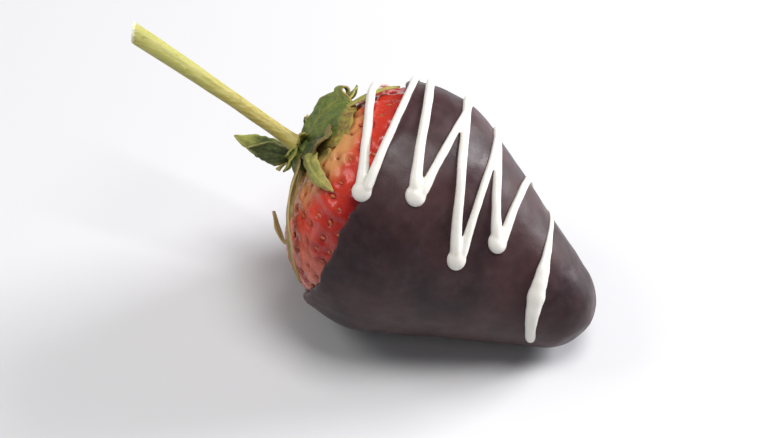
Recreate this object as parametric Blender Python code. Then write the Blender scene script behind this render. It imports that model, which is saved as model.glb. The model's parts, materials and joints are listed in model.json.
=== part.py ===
"""A large strawberry dipped in dark chocolate and drizzled with white, lying on its side.

Everything is in metres with +Z up. The origin is the middle of the flat spot on which the
chocolate rests. The berry's axis runs from its shoulder, under the leaves, to its nose. An
empty dips that axis, so that the nose points along +X and down and the stem points back and up.

In the berry's own frame X is the distance along the axis from the shoulder and Z points to
the upper side. A turn is an angle about the axis: 0 on the upper side, 90 degrees on the -Y
side. A share is a place on the outline: 0 in the middle of the shoulder, 1 at the nose. A
lift is a height off the berry's skin.
"""

import math
from collections import namedtuple

import bmesh
import bpy
from mathutils import Matrix, Vector

# Bare berry
BERRY_LENGTH = 0.0488
GIRTH_RADIUS = 0.0183
GIRTH_ALONG = 0.0150
NOSE_RADIUS = 0.0063
FLANK_ANGLE = math.radians(25)
SHOULDER_POWER = 2.6
AXIS_DIP = math.radians(22)

# The berry isn't quite round. Each wave changes its radius by a share of it, count times
# round the axis, and drifts round it towards the nose. One side has a fuller belly.
Wave = namedtuple("Wave", "size count drift phase")
SKIN_WAVES = (
    Wave(size=0.020, count=2, drift=0.0, phase=0.97),
    Wave(size=0.014, count=3, drift=5.0, phase=0.0),
    Wave(size=0.007, count=5, drift=-9.0, phase=1.0),
)
BELLY_SWELL = 0.055
BELLY_TURN = math.radians(132)
BELLY_SHARE = 0.48
BELLY_SPREAD = 0.24

# Shares of the outline at which the girth arc, the straight flank and the nose begin
GIRTH_SHARE = 0.42
FLANK_SHARE = 0.52
NOSE_SHARE = 0.80

# Chocolate coat
GAP = 0.0003
COAT_FULL = 0.0012
COAT_EDGE = 0.0008
EDGE_TAPER = 0.0030
RIM_ALONG = 0.0086
RIM_SLANT = 0.0014
RIM_LOW_TURN = math.radians(105)
RIM_WAVES = (
    Wave(size=0.00035, count=4, drift=0.0, phase=0.5),
    Wave(size=0.00028, count=7, drift=0.0, phase=2.0),
)
COAT_WAVE = Wave(size=0.10, count=3, drift=-7.0, phase=0.0)

# Flat foot: how far the coat sinks into the ground, how far it pools above it, and how much
# steeper than the coat the pool's edge is
FOOT_SINK = 0.0006
FOOT_POOL = 0.0005
FOOT_EDGE = 1.5

# Calyx and stem
HUB_RADIUS = 0.0042
HUB_HEIGHT = 0.0028
HUB_POWER = 0.8
HUB_RIDGE = Wave(size=0.05, count=5, drift=0.0, phase=0.0)
SEPAL_THICKNESS = 0.0005
SEPAL_FOLD = 0.16
SEPAL_ROOT_WIDTH = 0.46
SEPAL_WIDEST = 0.42
SEPAL_ROOT_ROLL = 0.45
STEM_LENGTH = 0.0310
STEM_ROOT_RADIUS = 0.00115
STEM_END_RADIUS = 0.00150
STEM_FLARE = 0.0006
STEM_FLARE_REACH = 0.0012
STEM_RIB = Wave(size=0.06, count=3, drift=0.0, phase=math.pi / 2)
STEM_LEAN = math.radians(3)
STEM_LEAN_TURN = math.radians(-49)
STEM_BOW = 0.0002
STEM_CUT = math.radians(28)

# White drizzle
BEAD_HALF_WIDTH = 0.00074
BEAD_HEIGHT = 0.00085
BULB_RADIUS = 0.00160
BULB_HEIGHT = 0.00125
FAR_DROP_RADIUS = 0.00081
FAR_DROP_HEIGHT = 0.00094
BEAD_STEP = 0.0024
BEAD_LEAST_STEPS = 3
RUN_ARRIVES = 0.0002
RUN_LEAVES = 0.0005
PIPING_TURN = math.radians(41)
SHORT_TURN = math.radians(12)
STRAIGHTENING_STEPS = 5
BEAD_STACK = 0.00012

# Where the drizzle's first run crosses the narrow leaf that lies on the flesh
LEAF_TOP = 0.0014
LEAF_CROSSING_ALONG = 0.0038
LEAF_CROSSING_REACH = 0.0030
LEAF_CROSSING_TURN = math.radians(-26)
LEAF_CROSSING_SPAN = math.radians(20)

# Mesh fineness
COLUMNS = 40
SHOULDER_ROWS = 7
COATED_ROWS = 17
RIM_ROWS = 4
FOOT_ROWS = 60
FOOT_SPOKES = 15
HUB_SIDES = 20
HUB_ROWS = 5
SEPAL_ROWS = 8
STEM_SIDES = 12
STEM_ROWS = 10
BEAD_SIDES = 5
BULB_SIDES = 12
BULB_ROWS = 3
SMALL_SHARE = 0.001

FLANK_SLOPE = math.tan(FLANK_ANGLE)
NOSE_CENTRE = BERRY_LENGTH - NOSE_RADIUS
NOSE_START = NOSE_CENTRE + NOSE_RADIUS * math.sin(FLANK_ANGLE)
NOSE_START_RADIUS = NOSE_RADIUS * math.cos(FLANK_ANGLE)
FLANK_AT_GIRTH = NOSE_START_RADIUS + FLANK_SLOPE * (NOSE_START - GIRTH_ALONG)
GIRTH_ARC = (FLANK_AT_GIRTH - GIRTH_RADIUS) / (1 / math.cos(FLANK_ANGLE) - 1)

# Sepals leave the hub in two whorls. Each whorl starts at a distance from the axis and a lift,
# and its leaves rest at another lift, the inner ones over the outer.
Whorl = namedtuple("Whorl", "distance lift rest")
OUTER = Whorl(distance=0.0047, lift=0.0016, rest=0.0008)
INNER = Whorl(distance=0.0034, lift=0.0031, rest=0.0015)

# turn: where it leaves the hub; sweep: how far it wanders round the axis by its tip;
# reach: how far it runs over the shoulder; stand: how high its tip stands off the skin;
# width: across its widest part; twist: how far the blade rolls about its own midrib.
Sepal = namedtuple("Sepal", "whorl turn sweep reach stand width twist")

SEPALS = (
    Sepal(INNER, turn=8, sweep=-36, reach=0.0084, stand=0.0002, width=0.0084, twist=52),
    Sepal(OUTER, turn=-12, sweep=-18, reach=0.0134, stand=0.0002, width=0.0028, twist=0),
    Sepal(OUTER, turn=22, sweep=2, reach=0.0084, stand=0.0004, width=0.0044, twist=-6),
    Sepal(OUTER, turn=54, sweep=-1, reach=0.0134, stand=0.0006, width=0.0044, twist=8),
    Sepal(INNER, turn=76, sweep=2, reach=0.0026, stand=0.0086, width=0.0034, twist=24),
    Sepal(OUTER, turn=107, sweep=-1, reach=0.0128, stand=0.0003, width=0.0060, twist=0),
    Sepal(OUTER, turn=146, sweep=4, reach=0.0106, stand=0.0012, width=0.0026, twist=-24),
    Sepal(INNER, turn=188, sweep=10, reach=0.0040, stand=0.0126, width=0.0046, twist=-24),
    Sepal(OUTER, turn=226, sweep=-2, reach=0.0124, stand=0.0004, width=0.0066, twist=0),
    Sepal(OUTER, turn=272, sweep=2, reach=0.0104, stand=0.0026, width=0.0070, twist=10),
)

# The drizzle's zigzag: distance along the axis and turn at each of its corners. It starts on
# the far side. At the near corners, where the turn is positive, a fat drop hangs. The last
# corner is where the drizzle runs out.
DRIZZLE_CORNERS = (
    (0.0030, -44),
    (0.0096, 43.5),
    (0.0081, -54),
    (0.0100, -60),
    (0.0163, 33),
    (0.0156, -54),
    (0.0261, 49),
    (0.0209, -50),
    (0.0301, 28),
    (0.0294, -8),
    (0.0322, -54),
    (0.0354, -60),
    (0.0398, 45),
    (0.0428, 96),
)


def clear_scene():
    """Remove every object, so that only the strawberry is left."""
    for old in list(bpy.data.objects):
        bpy.data.objects.remove(old, do_unlink=True)


def material(name, colour, roughness):
    """A plain finish for one kind of piece."""
    finish = bpy.data.materials.new(name)
    finish.use_nodes = True
    shader = finish.node_tree.nodes["Principled BSDF"]
    shader.inputs["Base Color"].default_value = (*colour, 1.0)
    shader.inputs["Roughness"].default_value = roughness
    shader.inputs["Metallic"].default_value = 0.0
    finish.diffuse_color = (*colour, 1.0)
    return finish


# The berry's surface


def outline(share):
    """Distance along the axis and radius of the bare berry at a share of its outline."""
    if share < GIRTH_SHARE:
        angle = math.pi / 2 * share / GIRTH_SHARE
        flat = (math.cos(angle) / GIRTH_ALONG) ** SHOULDER_POWER
        steep = (math.sin(angle) / GIRTH_RADIUS) ** SHOULDER_POWER
        reach = (flat + steep) ** (-1 / SHOULDER_POWER)
        return GIRTH_ALONG - reach * math.cos(angle), reach * math.sin(angle)
    if share < FLANK_SHARE:
        angle = FLANK_ANGLE * (share - GIRTH_SHARE) / (FLANK_SHARE - GIRTH_SHARE)
        return (GIRTH_ALONG + GIRTH_ARC * math.sin(angle),
                GIRTH_RADIUS - GIRTH_ARC * (1 - math.cos(angle)))
    if share < NOSE_SHARE:
        start = GIRTH_ALONG + GIRTH_ARC * math.sin(FLANK_ANGLE)
        along = start + (NOSE_START - start) * (share - FLANK_SHARE) / (NOSE_SHARE - FLANK_SHARE)
        return along, NOSE_START_RADIUS + FLANK_SLOPE * (NOSE_START - along)
    angle = FLANK_ANGLE + (math.pi / 2 - FLANK_ANGLE) * (share - NOSE_SHARE) / (1 - NOSE_SHARE)
    return NOSE_CENTRE + NOSE_RADIUS * math.sin(angle), NOSE_RADIUS * math.cos(angle)


def outline_normal(share):
    """Outward unit normal of the outline, as its parts along the axis and away from it."""
    nudge = SMALL_SHARE / 2
    if share < nudge:
        return -1.0, 0.0
    if share > 1 - nudge:
        return 1.0, 0.0
    along_a, radius_a = outline(share - nudge)
    along_b, radius_b = outline(share + nudge)
    size = math.hypot(along_b - along_a, radius_b - radius_a)
    return (radius_a - radius_b) / size, (along_b - along_a) / size


def share_at(along):
    """Share of the outline that lies at a distance along the axis."""
    low, high = 0.0, 1.0
    for _ in range(40):
        middle = (low + high) / 2
        if outline(middle)[0] < along:
            low = middle
        else:
            high = middle
    return (low + high) / 2


def share_after(distance):
    """Share of the outline at a distance from the shoulder's middle, measured over the skin."""
    share, gone = 0.0, 0.0
    while gone < distance:
        along_a, radius_a = outline(share)
        along_b, radius_b = outline(share + SMALL_SHARE)
        gone += math.hypot(along_b - along_a, radius_b - radius_a)
        share += SMALL_SHARE
    return share


def ripple(wave, turn, share=0.0):
    """Height of one wave at a turn and a share of the outline."""
    return wave.size * math.sin(wave.count * turn + wave.drift * share + wave.phase)


def lumps(share, turn):
    """How far the berry's radius departs from a round one, as a share of the radius."""
    belly = BELLY_SWELL * max(0.0, math.cos(turn - BELLY_TURN)) ** 2
    belly *= math.exp(-((share - BELLY_SHARE) / BELLY_SPREAD) ** 2)
    return belly + sum(ripple(wave, turn, share) for wave in SKIN_WAVES)


def skin(share, turn, lift=0.0):
    """Point in the berry's frame at a lift off the bare berry."""
    along, radius = outline(share)
    normal_along, normal_out = outline_normal(share)
    radius = radius * (1 + lumps(share, turn)) + normal_out * lift
    return Vector((along + normal_along * lift,
                   -radius * math.sin(turn),
                   radius * math.cos(turn)))


def skin_normal(share, turn):
    """Outward unit normal of the berry's skin."""
    normal_along, normal_out = outline_normal(share)
    return Vector((normal_along, -normal_out * math.sin(turn), normal_out * math.cos(turn)))


# The chocolate's surface


def rim_along(turn):
    """Distance along the axis at which the chocolate ends, lowest on the near underside."""
    slant = RIM_SLANT * math.cos(turn - RIM_LOW_TURN)
    return RIM_ALONG + slant + sum(ripple(wave, turn) for wave in RIM_WAVES)


def coat_thickness(share, turn):
    """Thickness of the chocolate, thin at its rim and a little uneven elsewhere."""
    beyond = max(0.0, outline(share)[0] - rim_along(turn))
    fullness = 1 - math.exp(-beyond / EDGE_TAPER)
    uneven = 1 + ripple(COAT_WAVE, turn, share) * fullness
    return (COAT_EDGE + (COAT_FULL - COAT_EDGE) * fullness) * uneven


def seat_lift(share, turn):
    """Lift of the drizzle's bed: the red flesh, a leaf lying on it, and the coat past its rim."""
    along = outline(share)[0]
    climb = min(1.0, max(0.0, (along - rim_along(turn)) / COAT_FULL + 1.2))
    climb = climb * climb * (3 - 2 * climb)
    beside = (turn - LEAF_CROSSING_TURN) / LEAF_CROSSING_SPAN
    beyond = (along - LEAF_CROSSING_ALONG) / LEAF_CROSSING_REACH
    over_leaf = LEAF_TOP * math.exp(-beside * beside - beyond * beyond)
    return climb * (GAP + coat_thickness(share, turn)) + over_leaf


def shoulder_place():
    """World place of the shoulder that puts the middle of the coat's flat foot at the origin."""
    tip = Matrix.Rotation(AXIS_DIP, 3, "Y")
    start = share_at(rim_along(math.pi))
    underside = []
    for row in range(FOOT_ROWS + 1):
        share = start + (1 - start) * row / FOOT_ROWS
        for spoke in range(-FOOT_SPOKES, FOOT_SPOKES + 1):
            turn = math.pi + math.pi / 4 * spoke / FOOT_SPOKES
            underside.append(tip @ skin(share, turn, GAP + coat_thickness(share, turn)))
    lowest = min(point.z for point in underside)
    foot = [point for point in underside if point.z < lowest + FOOT_SINK + FOOT_POOL]
    middle_x = (min(point.x for point in foot) + max(point.x for point in foot)) / 2
    middle_y = (min(point.y for point in foot) + max(point.y for point in foot)) / 2
    return Vector((-middle_x, -middle_y, -lowest - FOOT_SINK))


def footed(point, shoulder):
    """Settle a point of the coat on the ground: the lowest ones lie flat, as in a set pool."""
    up = Matrix.Rotation(-AXIS_DIP, 3, "Y") @ Vector((0, 0, 1))
    height = shoulder.z + point.dot(up)
    settled = max(0.0, min(height, FOOT_EDGE * (height - FOOT_POOL)))
    return point + up * (settled - height)


# Mesh helpers


def loft(bm, rings, first=None, last=None):
    """Skin rings of points into a closed body; first and last are its end points if given."""
    loops = [[bm.verts.new(point) for point in ring] for ring in rings]
    for near, far in zip(loops, loops[1:]):
        for index in range(len(near)):
            follow = (index + 1) % len(near)
            bm.faces.new((near[index], near[follow], far[follow], far[index]))
    for loop, end in ((loops[0], first), (loops[-1], last)):
        middle = end or sum((vert.co for vert in loop), Vector()) / len(loop)
        tip = bm.verts.new(middle)
        for index in range(len(loop)):
            bm.faces.new((loop[index], loop[(index + 1) % len(loop)], tip))


def finish_piece(bm, name, finish, root):
    """Turn a bmesh into a smooth-shaded object that hangs from the root empty."""
    bmesh.ops.recalc_face_normals(bm, faces=bm.faces)
    mesh = bpy.data.meshes.new(name)
    bm.to_mesh(mesh)
    bm.free()
    mesh.shade_smooth()
    mesh.set_sharp_from_angle(angle=math.radians(50))
    mesh.materials.append(finish)
    piece = bpy.data.objects.new(name, mesh)
    bpy.context.scene.collection.objects.link(piece)
    piece.parent = root
    return piece


def turns(count):
    """Evenly spaced turns all the way round the axis."""
    return [2 * math.pi * index / count for index in range(count)]


# Pieces


def coated_shares(turn):
    """Shares of the rows that the berry and its coat have in common, rim to nose."""
    start = share_at(rim_along(turn) + COAT_EDGE / 2)
    last_row = 1 - 0.5 * (1 - start) / COATED_ROWS
    return [start + (last_row - start) * row / (COATED_ROWS - 1) for row in range(COATED_ROWS)]


def build_berry(root, finish):
    """The red berry, solid from its shoulder to its nose and bare above the chocolate."""
    columns = [(turn, coated_shares(turn)) for turn in turns(COLUMNS)]
    rings = []
    for row in range(1, SHOULDER_ROWS + 1):
        part = row / (SHOULDER_ROWS + 1)
        rings.append([skin(shares[0] * part, turn) for turn, shares in columns])
    for row in range(COATED_ROWS):
        rings.append([skin(shares[row], turn) for turn, shares in columns])
    bm = bmesh.new()
    loft(bm, rings, first=skin(0, 0), last=skin(1, 0))
    return finish_piece(bm, "berry", finish, root)


def build_coat(root, finish, shoulder):
    """The chocolate: a cup round the berry with a rounded rim and a flat foot."""
    def outer(share, turn):
        """Point on the outside of the chocolate."""
        return footed(skin(share, turn, GAP + coat_thickness(share, turn)), shoulder)

    columns = [(turn, coated_shares(turn)) for turn in turns(COLUMNS)]
    rings = []
    for row in reversed(range(COATED_ROWS)):
        rings.append([outer(shares[row], turn) for turn, shares in columns])
    for row in range(1, RIM_ROWS):
        angle = math.pi * row / RIM_ROWS
        ring = []
        for turn, shares in columns:
            half = coat_thickness(shares[0], turn) / 2
            back = share_at(outline(shares[0])[0] - half * math.sin(angle))
            ring.append(skin(back, turn, GAP + half + half * math.cos(angle)))
        rings.append(ring)
    for row in range(COATED_ROWS):
        rings.append([skin(shares[row], turn, GAP) for turn, shares in columns])
    bm = bmesh.new()
    nose_lift = GAP + coat_thickness(1, 0)
    loft(bm, rings, first=skin(1, 0, nose_lift), last=skin(1, 0, GAP))
    return finish_piece(bm, "chocolate_coat", finish, root)


def build_hub(root, finish):
    """The leafy cap's middle, a low ridged dome that sits on the shoulder and carries the stem."""
    under_share = share_after(HUB_RADIUS)
    rings = [[skin(under_share / 2, turn, GAP) for turn in turns(HUB_SIDES)],
             [skin(under_share, turn, GAP) for turn in turns(HUB_SIDES)]]
    for row in range(HUB_ROWS):
        angle = math.pi / 2 * (row + 0.5) / HUB_ROWS
        ring = []
        for turn in turns(HUB_SIDES):
            out = HUB_RADIUS * math.cos(angle) ** HUB_POWER * (1 + ripple(HUB_RIDGE, turn))
            ring.append(Vector((-GAP - HUB_HEIGHT * math.sin(angle),
                                -out * math.sin(turn),
                                out * math.cos(turn))))
        rings.append(ring)
    bm = bmesh.new()
    loft(bm, rings, first=skin(0, 0, GAP), last=Vector((-GAP - HUB_HEIGHT, 0, 0)))
    return finish_piece(bm, "calyx_hub", finish, root)


def blade_width(part):
    """Width of a sepal as a share of its widest, from its root at 0 to its tip at 1."""
    if part < SEPAL_WIDEST:
        swell = math.sin(math.pi / 2 * part / SEPAL_WIDEST)
        return SEPAL_ROOT_WIDTH + (1 - SEPAL_ROOT_WIDTH) * swell
    return math.cos(math.pi / 2 * (part - SEPAL_WIDEST) / (1 - SEPAL_WIDEST)) ** 0.85


def sepal_roll(sepal, part):
    """How far a sepal's blade is rolled about its midrib at a part of its length."""
    rise = math.sin(math.pi / 2 * part)
    return math.radians(sepal.twist) * (SEPAL_ROOT_ROLL + (1 - SEPAL_ROOT_ROLL) * rise)


def sepal_midrib(sepal, part):
    """Point on a sepal's midrib, from its root at 0 to its tip at 1, its low edge clear."""
    settle = (sepal.whorl.lift - sepal.whorl.rest) * (1 - part) ** 3
    dip = sepal.width / 2 * blade_width(part) * abs(math.sin(sepal_roll(sepal, part)))
    lift = sepal.whorl.rest + settle + dip + sepal.stand * part ** 1.1
    share = share_after(sepal.whorl.distance + sepal.reach * part)
    return skin(share, math.radians(sepal.turn + sepal.sweep * part), lift)


def build_sepal(root, finish, number, sepal):
    """One leaf of the cap: a thin pointed blade folded along its midrib."""
    rings = []
    for row in range(SEPAL_ROWS):
        part = row / SEPAL_ROWS
        middle = sepal_midrib(sepal, part)
        forward = (sepal_midrib(sepal, part + 1 / SEPAL_ROWS) - middle).normalized()
        round_axis = math.radians(sepal.turn + sepal.sweep * part)
        side = Vector((0, math.cos(round_axis), math.sin(round_axis)))
        top = side.cross(forward).normalized()
        top = Matrix.Rotation(sepal_roll(sepal, part), 3, forward) @ top
        side = forward.cross(top)
        half = sepal.width / 2 * blade_width(part)
        upper = []
        lower = []
        for place in (-1.0, -0.5, 0.0, 0.5, 1.0):
            thick = SEPAL_THICKNESS * (1 - abs(place) / 2)
            fold = SEPAL_FOLD * half * abs(place)
            centre = middle + side * (half * place) + top * fold
            upper.append(centre + top * thick / 2)
            lower.append(centre - top * thick / 2)
        rings.append(upper + lower[::-1])
    bm = bmesh.new()
    loft(bm, rings, last=sepal_midrib(sepal, 1))
    return finish_piece(bm, f"sepal_{number:02d}", finish, root)


def build_stem(root, finish):
    """The stalk: a faintly ribbed, bowed rod that widens to a slanting cut end."""
    start = Vector((-HUB_HEIGHT - 2 * GAP, 0, 0))
    lean_away = Vector((0, -math.sin(STEM_LEAN_TURN), math.cos(STEM_LEAN_TURN)))
    heading = Vector((-1, 0, 0)) * math.cos(STEM_LEAN) + lean_away * math.sin(STEM_LEAN)
    side = heading.cross(lean_away).normalized()
    up = side.cross(heading).normalized()
    rings = []
    for row in range(STEM_ROWS + 1):
        part = row / STEM_ROWS
        radius = STEM_ROOT_RADIUS + (STEM_END_RADIUS - STEM_ROOT_RADIUS) * part
        radius += STEM_FLARE * math.exp(-part * STEM_LENGTH / STEM_FLARE_REACH)
        bow = up * (STEM_BOW * math.sin(math.pi * part))
        middle = start + heading * (STEM_LENGTH * part) + bow
        slope = math.tan(STEM_CUT) if row == STEM_ROWS else 0.0
        ring = []
        for angle in turns(STEM_SIDES):
            reach = radius * (1 + ripple(STEM_RIB, angle))
            across = side * math.cos(angle) + up * math.sin(angle)
            cut = heading * (slope * radius * math.sin(angle))
            ring.append(middle + across * reach + cut)
        rings.append(ring)
    bm = bmesh.new()
    loft(bm, rings)
    return finish_piece(bm, "stem", finish, root)


def off_middle(along, turn):
    """Distance of the skin from the plane through the axis and the middle of the piping side."""
    return outline(share_at(along))[1] * math.sin(turn - PIPING_TURN)


def bead_leg(bm, start, end, lift):
    """One run of the drizzle between two corners, laid at a lift over the surface below it."""
    turn_a, turn_b = math.radians(start[1]), math.radians(end[1])
    first, last = off_middle(start[0], turn_a), off_middle(end[0], turn_b)
    radius = outline(share_at((start[0] + end[0]) / 2))[1]
    length = math.hypot(radius * (turn_b - turn_a), end[0] - start[0])
    steps = max(BEAD_LEAST_STEPS, round(length / BEAD_STEP))

    def place(part):
        """Share and turn on the run. A long run is straight when seen from the piping side."""
        turn = turn_a + (turn_b - turn_a) * part
        along = start[0] + (end[0] - start[0]) * part
        if abs(turn_b - turn_a) > SHORT_TURN:
            for _ in range(STRAIGHTENING_STEPS):
                across = (off_middle(along, turn) - first) / (last - first)
                along = start[0] + (end[0] - start[0]) * across
        return share_at(along), turn

    rings = []
    for step in range(steps + 1):
        share, turn = place(step / steps)
        middle = skin(share, turn, seat_lift(share, turn) + lift)
        normal = skin_normal(share, turn)
        before = skin(*place(max(0, step - 1) / steps))
        after = skin(*place(min(steps, step + 1) / steps))
        forward = (after - before).normalized()
        side = forward.cross(normal).normalized()
        ring = []
        for index in range(BEAD_SIDES + 1):
            angle = math.pi * index / BEAD_SIDES
            ring.append(middle + side * (BEAD_HALF_WIDTH * math.cos(angle))
                        + normal * (BEAD_HEIGHT * math.sin(angle)))
        rings.append(ring)
    loft(bm, rings)


def bead_bulb(bm, corner, radius, height):
    """A round drop at one corner of the drizzle."""
    share = share_at(corner[0])
    turn = math.radians(corner[1])
    middle = skin(share, turn, seat_lift(share, turn) + GAP)
    normal = skin_normal(share, turn)
    side = normal.orthogonal().normalized()
    other = normal.cross(side)
    rings = []
    for row in range(BULB_ROWS):
        angle = math.pi / 2 * row / BULB_ROWS
        ring = []
        for around in turns(BULB_SIDES):
            spoke = side * math.cos(around) + other * math.sin(around)
            out = spoke * (radius * math.cos(angle))
            ring.append(middle + out + normal * (height * math.sin(angle)))
        rings.append(ring)
    loft(bm, rings, first=middle, last=middle + normal * height)


def build_drizzle(root, finish):
    """The white zigzag: beads between its corners and drops on them, joined into one body."""
    parts = []
    near_corners = [corner for corner in DRIZZLE_CORNERS[:-1] if corner[1] > 0]
    for index, corner in enumerate(DRIZZLE_CORNERS):
        bm = bmesh.new()
        if corner in near_corners:
            bead_bulb(bm, corner, BULB_RADIUS, BULB_HEIGHT)
        else:
            bead_bulb(bm, corner, FAR_DROP_RADIUS, FAR_DROP_HEIGHT)
        parts.append(finish_piece(bm, f"drizzle_drop_{index}", finish, root))
    for index, (start, end) in enumerate(zip(DRIZZLE_CORNERS, DRIZZLE_CORNERS[1:])):
        if start in near_corners:
            start = (start[0] + RUN_LEAVES, start[1])
        if end in near_corners:
            end = (end[0] - RUN_ARRIVES, end[1])
        bm = bmesh.new()
        bead_leg(bm, start, end, GAP + BEAD_STACK * (1 + index % 2))
        parts.append(finish_piece(bm, f"drizzle_run_{index}", finish, root))
    drizzle = parts[0]
    drizzle.name = "white_drizzle"
    others = bpy.data.collections.new("drizzle_parts")
    bpy.context.scene.collection.children.link(others)
    for part in parts[1:]:
        bpy.context.scene.collection.objects.unlink(part)
        others.objects.link(part)
        part.hide_render = True
        part.display_type = "WIRE"
    union = drizzle.modifiers.new("join", "BOOLEAN")
    union.operation = "UNION"
    union.solver = "EXACT"
    union.operand_type = "COLLECTION"
    union.collection = others
    return drizzle


def main():
    """Build the strawberry."""
    clear_scene()
    shoulder = shoulder_place()
    root = bpy.data.objects.new("berry_axis", None)
    root.location = shoulder
    root.rotation_euler = (0, AXIS_DIP, 0)
    bpy.context.scene.collection.objects.link(root)

    red = material("berry_red", (0.52, 0.035, 0.028), 0.28)
    dark = material("dark_chocolate", (0.045, 0.024, 0.022), 0.32)
    green = material("sepal_green", (0.13, 0.16, 0.045), 0.55)
    pale = material("stem_green", (0.50, 0.46, 0.13), 0.50)
    white = material("white_chocolate", (0.78, 0.75, 0.68), 0.38)

    build_berry(root, red)
    build_coat(root, dark, shoulder)
    build_hub(root, green)
    for number, sepal in enumerate(SEPALS, start=1):
        build_sepal(root, green, number, sepal)
    build_stem(root, pale)
    build_drizzle(root, white)


main()
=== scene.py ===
import json
import logging
import math
import random
from dataclasses import dataclass, field, replace
from enum import Enum
from typing import Callable, Sequence

import bpy
from mathutils import Matrix, Vector, noise
from mathutils.kdtree import KDTree

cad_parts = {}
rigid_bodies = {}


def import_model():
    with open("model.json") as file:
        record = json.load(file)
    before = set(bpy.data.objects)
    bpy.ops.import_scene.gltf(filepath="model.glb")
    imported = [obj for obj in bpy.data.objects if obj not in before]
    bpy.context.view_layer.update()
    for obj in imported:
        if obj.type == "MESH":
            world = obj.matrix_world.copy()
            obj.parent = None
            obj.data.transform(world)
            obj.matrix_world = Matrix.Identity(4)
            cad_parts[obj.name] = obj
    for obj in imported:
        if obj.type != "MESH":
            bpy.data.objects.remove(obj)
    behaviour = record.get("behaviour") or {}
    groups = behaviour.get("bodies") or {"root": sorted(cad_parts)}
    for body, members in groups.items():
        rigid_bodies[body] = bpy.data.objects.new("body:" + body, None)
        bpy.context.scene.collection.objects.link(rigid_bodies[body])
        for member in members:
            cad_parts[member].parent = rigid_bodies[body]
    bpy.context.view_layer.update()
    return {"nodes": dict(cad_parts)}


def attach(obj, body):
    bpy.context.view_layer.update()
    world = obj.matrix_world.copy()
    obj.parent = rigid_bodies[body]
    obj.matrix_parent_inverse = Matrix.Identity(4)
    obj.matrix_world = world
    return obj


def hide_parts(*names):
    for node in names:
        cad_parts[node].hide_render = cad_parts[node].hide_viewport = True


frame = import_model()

LOG = logging.getLogger("strawberry")
Colour = tuple[float, float, float]
Shape = Callable[[int, float], Vector]
Point = tuple[float, float, float]
PIPING_TURN = math.radians(41)
MERGE_GAP = 0.000002
MILLIMETRES = 1000.0


# Small tools


def deselect() -> None:
    """Leave nothing selected, so that an operator acts on the new piece alone."""
    for other in bpy.context.view_layer.objects:
        other.select_set(False)


def hold(piece: bpy.types.Object) -> None:
    """Make one piece the only selected and active one.

    Args:
        piece: the piece to work on.
    """
    deselect()
    piece.select_set(True)
    bpy.context.view_layer.objects.active = piece


def clean_up(piece: bpy.types.Object, merge: bool = True) -> None:
    """Turn a finished closed mesh's faces outwards and shade it smooth.

    Args:
        piece: the mesh.
        merge: whether vertices in one place become one.
    """
    hold(piece)
    bpy.ops.object.mode_set(mode="EDIT")
    bpy.ops.mesh.select_all(action="SELECT")
    if merge:
        bpy.ops.mesh.remove_doubles(threshold=MERGE_GAP)
    bpy.ops.mesh.normals_make_consistent(inside=False)
    bpy.ops.object.mode_set(mode="OBJECT")
    bpy.ops.object.shade_smooth()


def apply_modifier(piece: bpy.types.Object, kind: str, **settings: object) -> None:
    """Add one modifier to a piece and apply it.

    Args:
        piece: the piece to change.
        kind: Blender's name for the kind of modifier.
        settings: the modifier's own settings.
    """
    hold(piece)
    modifier = piece.modifiers.new(kind.lower(), kind)
    for name, value in settings.items():
        setattr(modifier, name, value)
    bpy.ops.object.modifier_apply(modifier=modifier.name)


def wrapped_sphere(name: str, sides: int, rows: int, shape: Shape) -> bpy.types.Object:
    """Shape a closed skin from a sphere's rows and spokes, pole to pole.

    Args:
        name: the piece's name.
        sides: number of spokes round the sphere.
        rows: number of rows of faces from pole to pole.
        shape: gives the place of a row and an angle round it.

    Returns:
        The new piece, closed, with its faces outwards.
    """
    deselect()
    bpy.ops.mesh.primitive_uv_sphere_add(segments=sides, ring_count=rows, radius=1.0)
    piece = bpy.context.active_object
    piece.name = name
    piece.data.name = name
    for vert in piece.data.vertices:
        height = max(-1.0, min(1.0, vert.co.z))
        row = round(math.acos(height) / math.pi * rows)
        vert.co = shape(row, math.atan2(vert.co.y, vert.co.x) % (2 * math.pi))
    clean_up(piece)
    return piece


def joined(pieces: Sequence[bpy.types.Object], name: str) -> bpy.types.Object:
    """Join several meshes into one piece.

    Args:
        pieces: the meshes to join.
        name: the piece's name.

    Returns:
        The joined piece.
    """
    deselect()
    for piece in pieces:
        piece.select_set(True)
    bpy.context.view_layer.objects.active = pieces[0]
    bpy.ops.object.join()
    pieces[0].name = name
    pieces[0].data.name = name
    return pieces[0]


def record_values(piece: bpy.types.Object, **values: Sequence[float]) -> None:
    """Store numbers for each vertex, for the piece's material to read.

    Args:
        piece: the piece.
        values: under each attribute's name, one number for each vertex.
    """
    for name, numbers in values.items():
        attribute = piece.data.attributes.new(name, "FLOAT", "POINT")
        attribute.data.foreach_set("value", list(numbers))


def settle(piece: bpy.types.Object, slot: str, *nodes: str) -> None:
    """Hand a finished piece to the frame.

    Args:
        piece: the finished piece.
        slot: the record's material slot; not used.
        nodes: the CAD nodes that the piece stands for.
    """
    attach(piece, "root")
    if nodes:
        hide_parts(*nodes)
    triangles = sum(len(face.vertices) - 2 for face in piece.data.polygons)
    LOG.info("%s: %d triangles, stands for %s", piece.name, triangles, ", ".join(nodes) or "-")


def smooth_step(value: float) -> float:
    """Ease a number between 0 and 1, flat at both ends."""
    value = max(0.0, min(1.0, value))
    return value * value * (3 - 2 * value)


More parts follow.
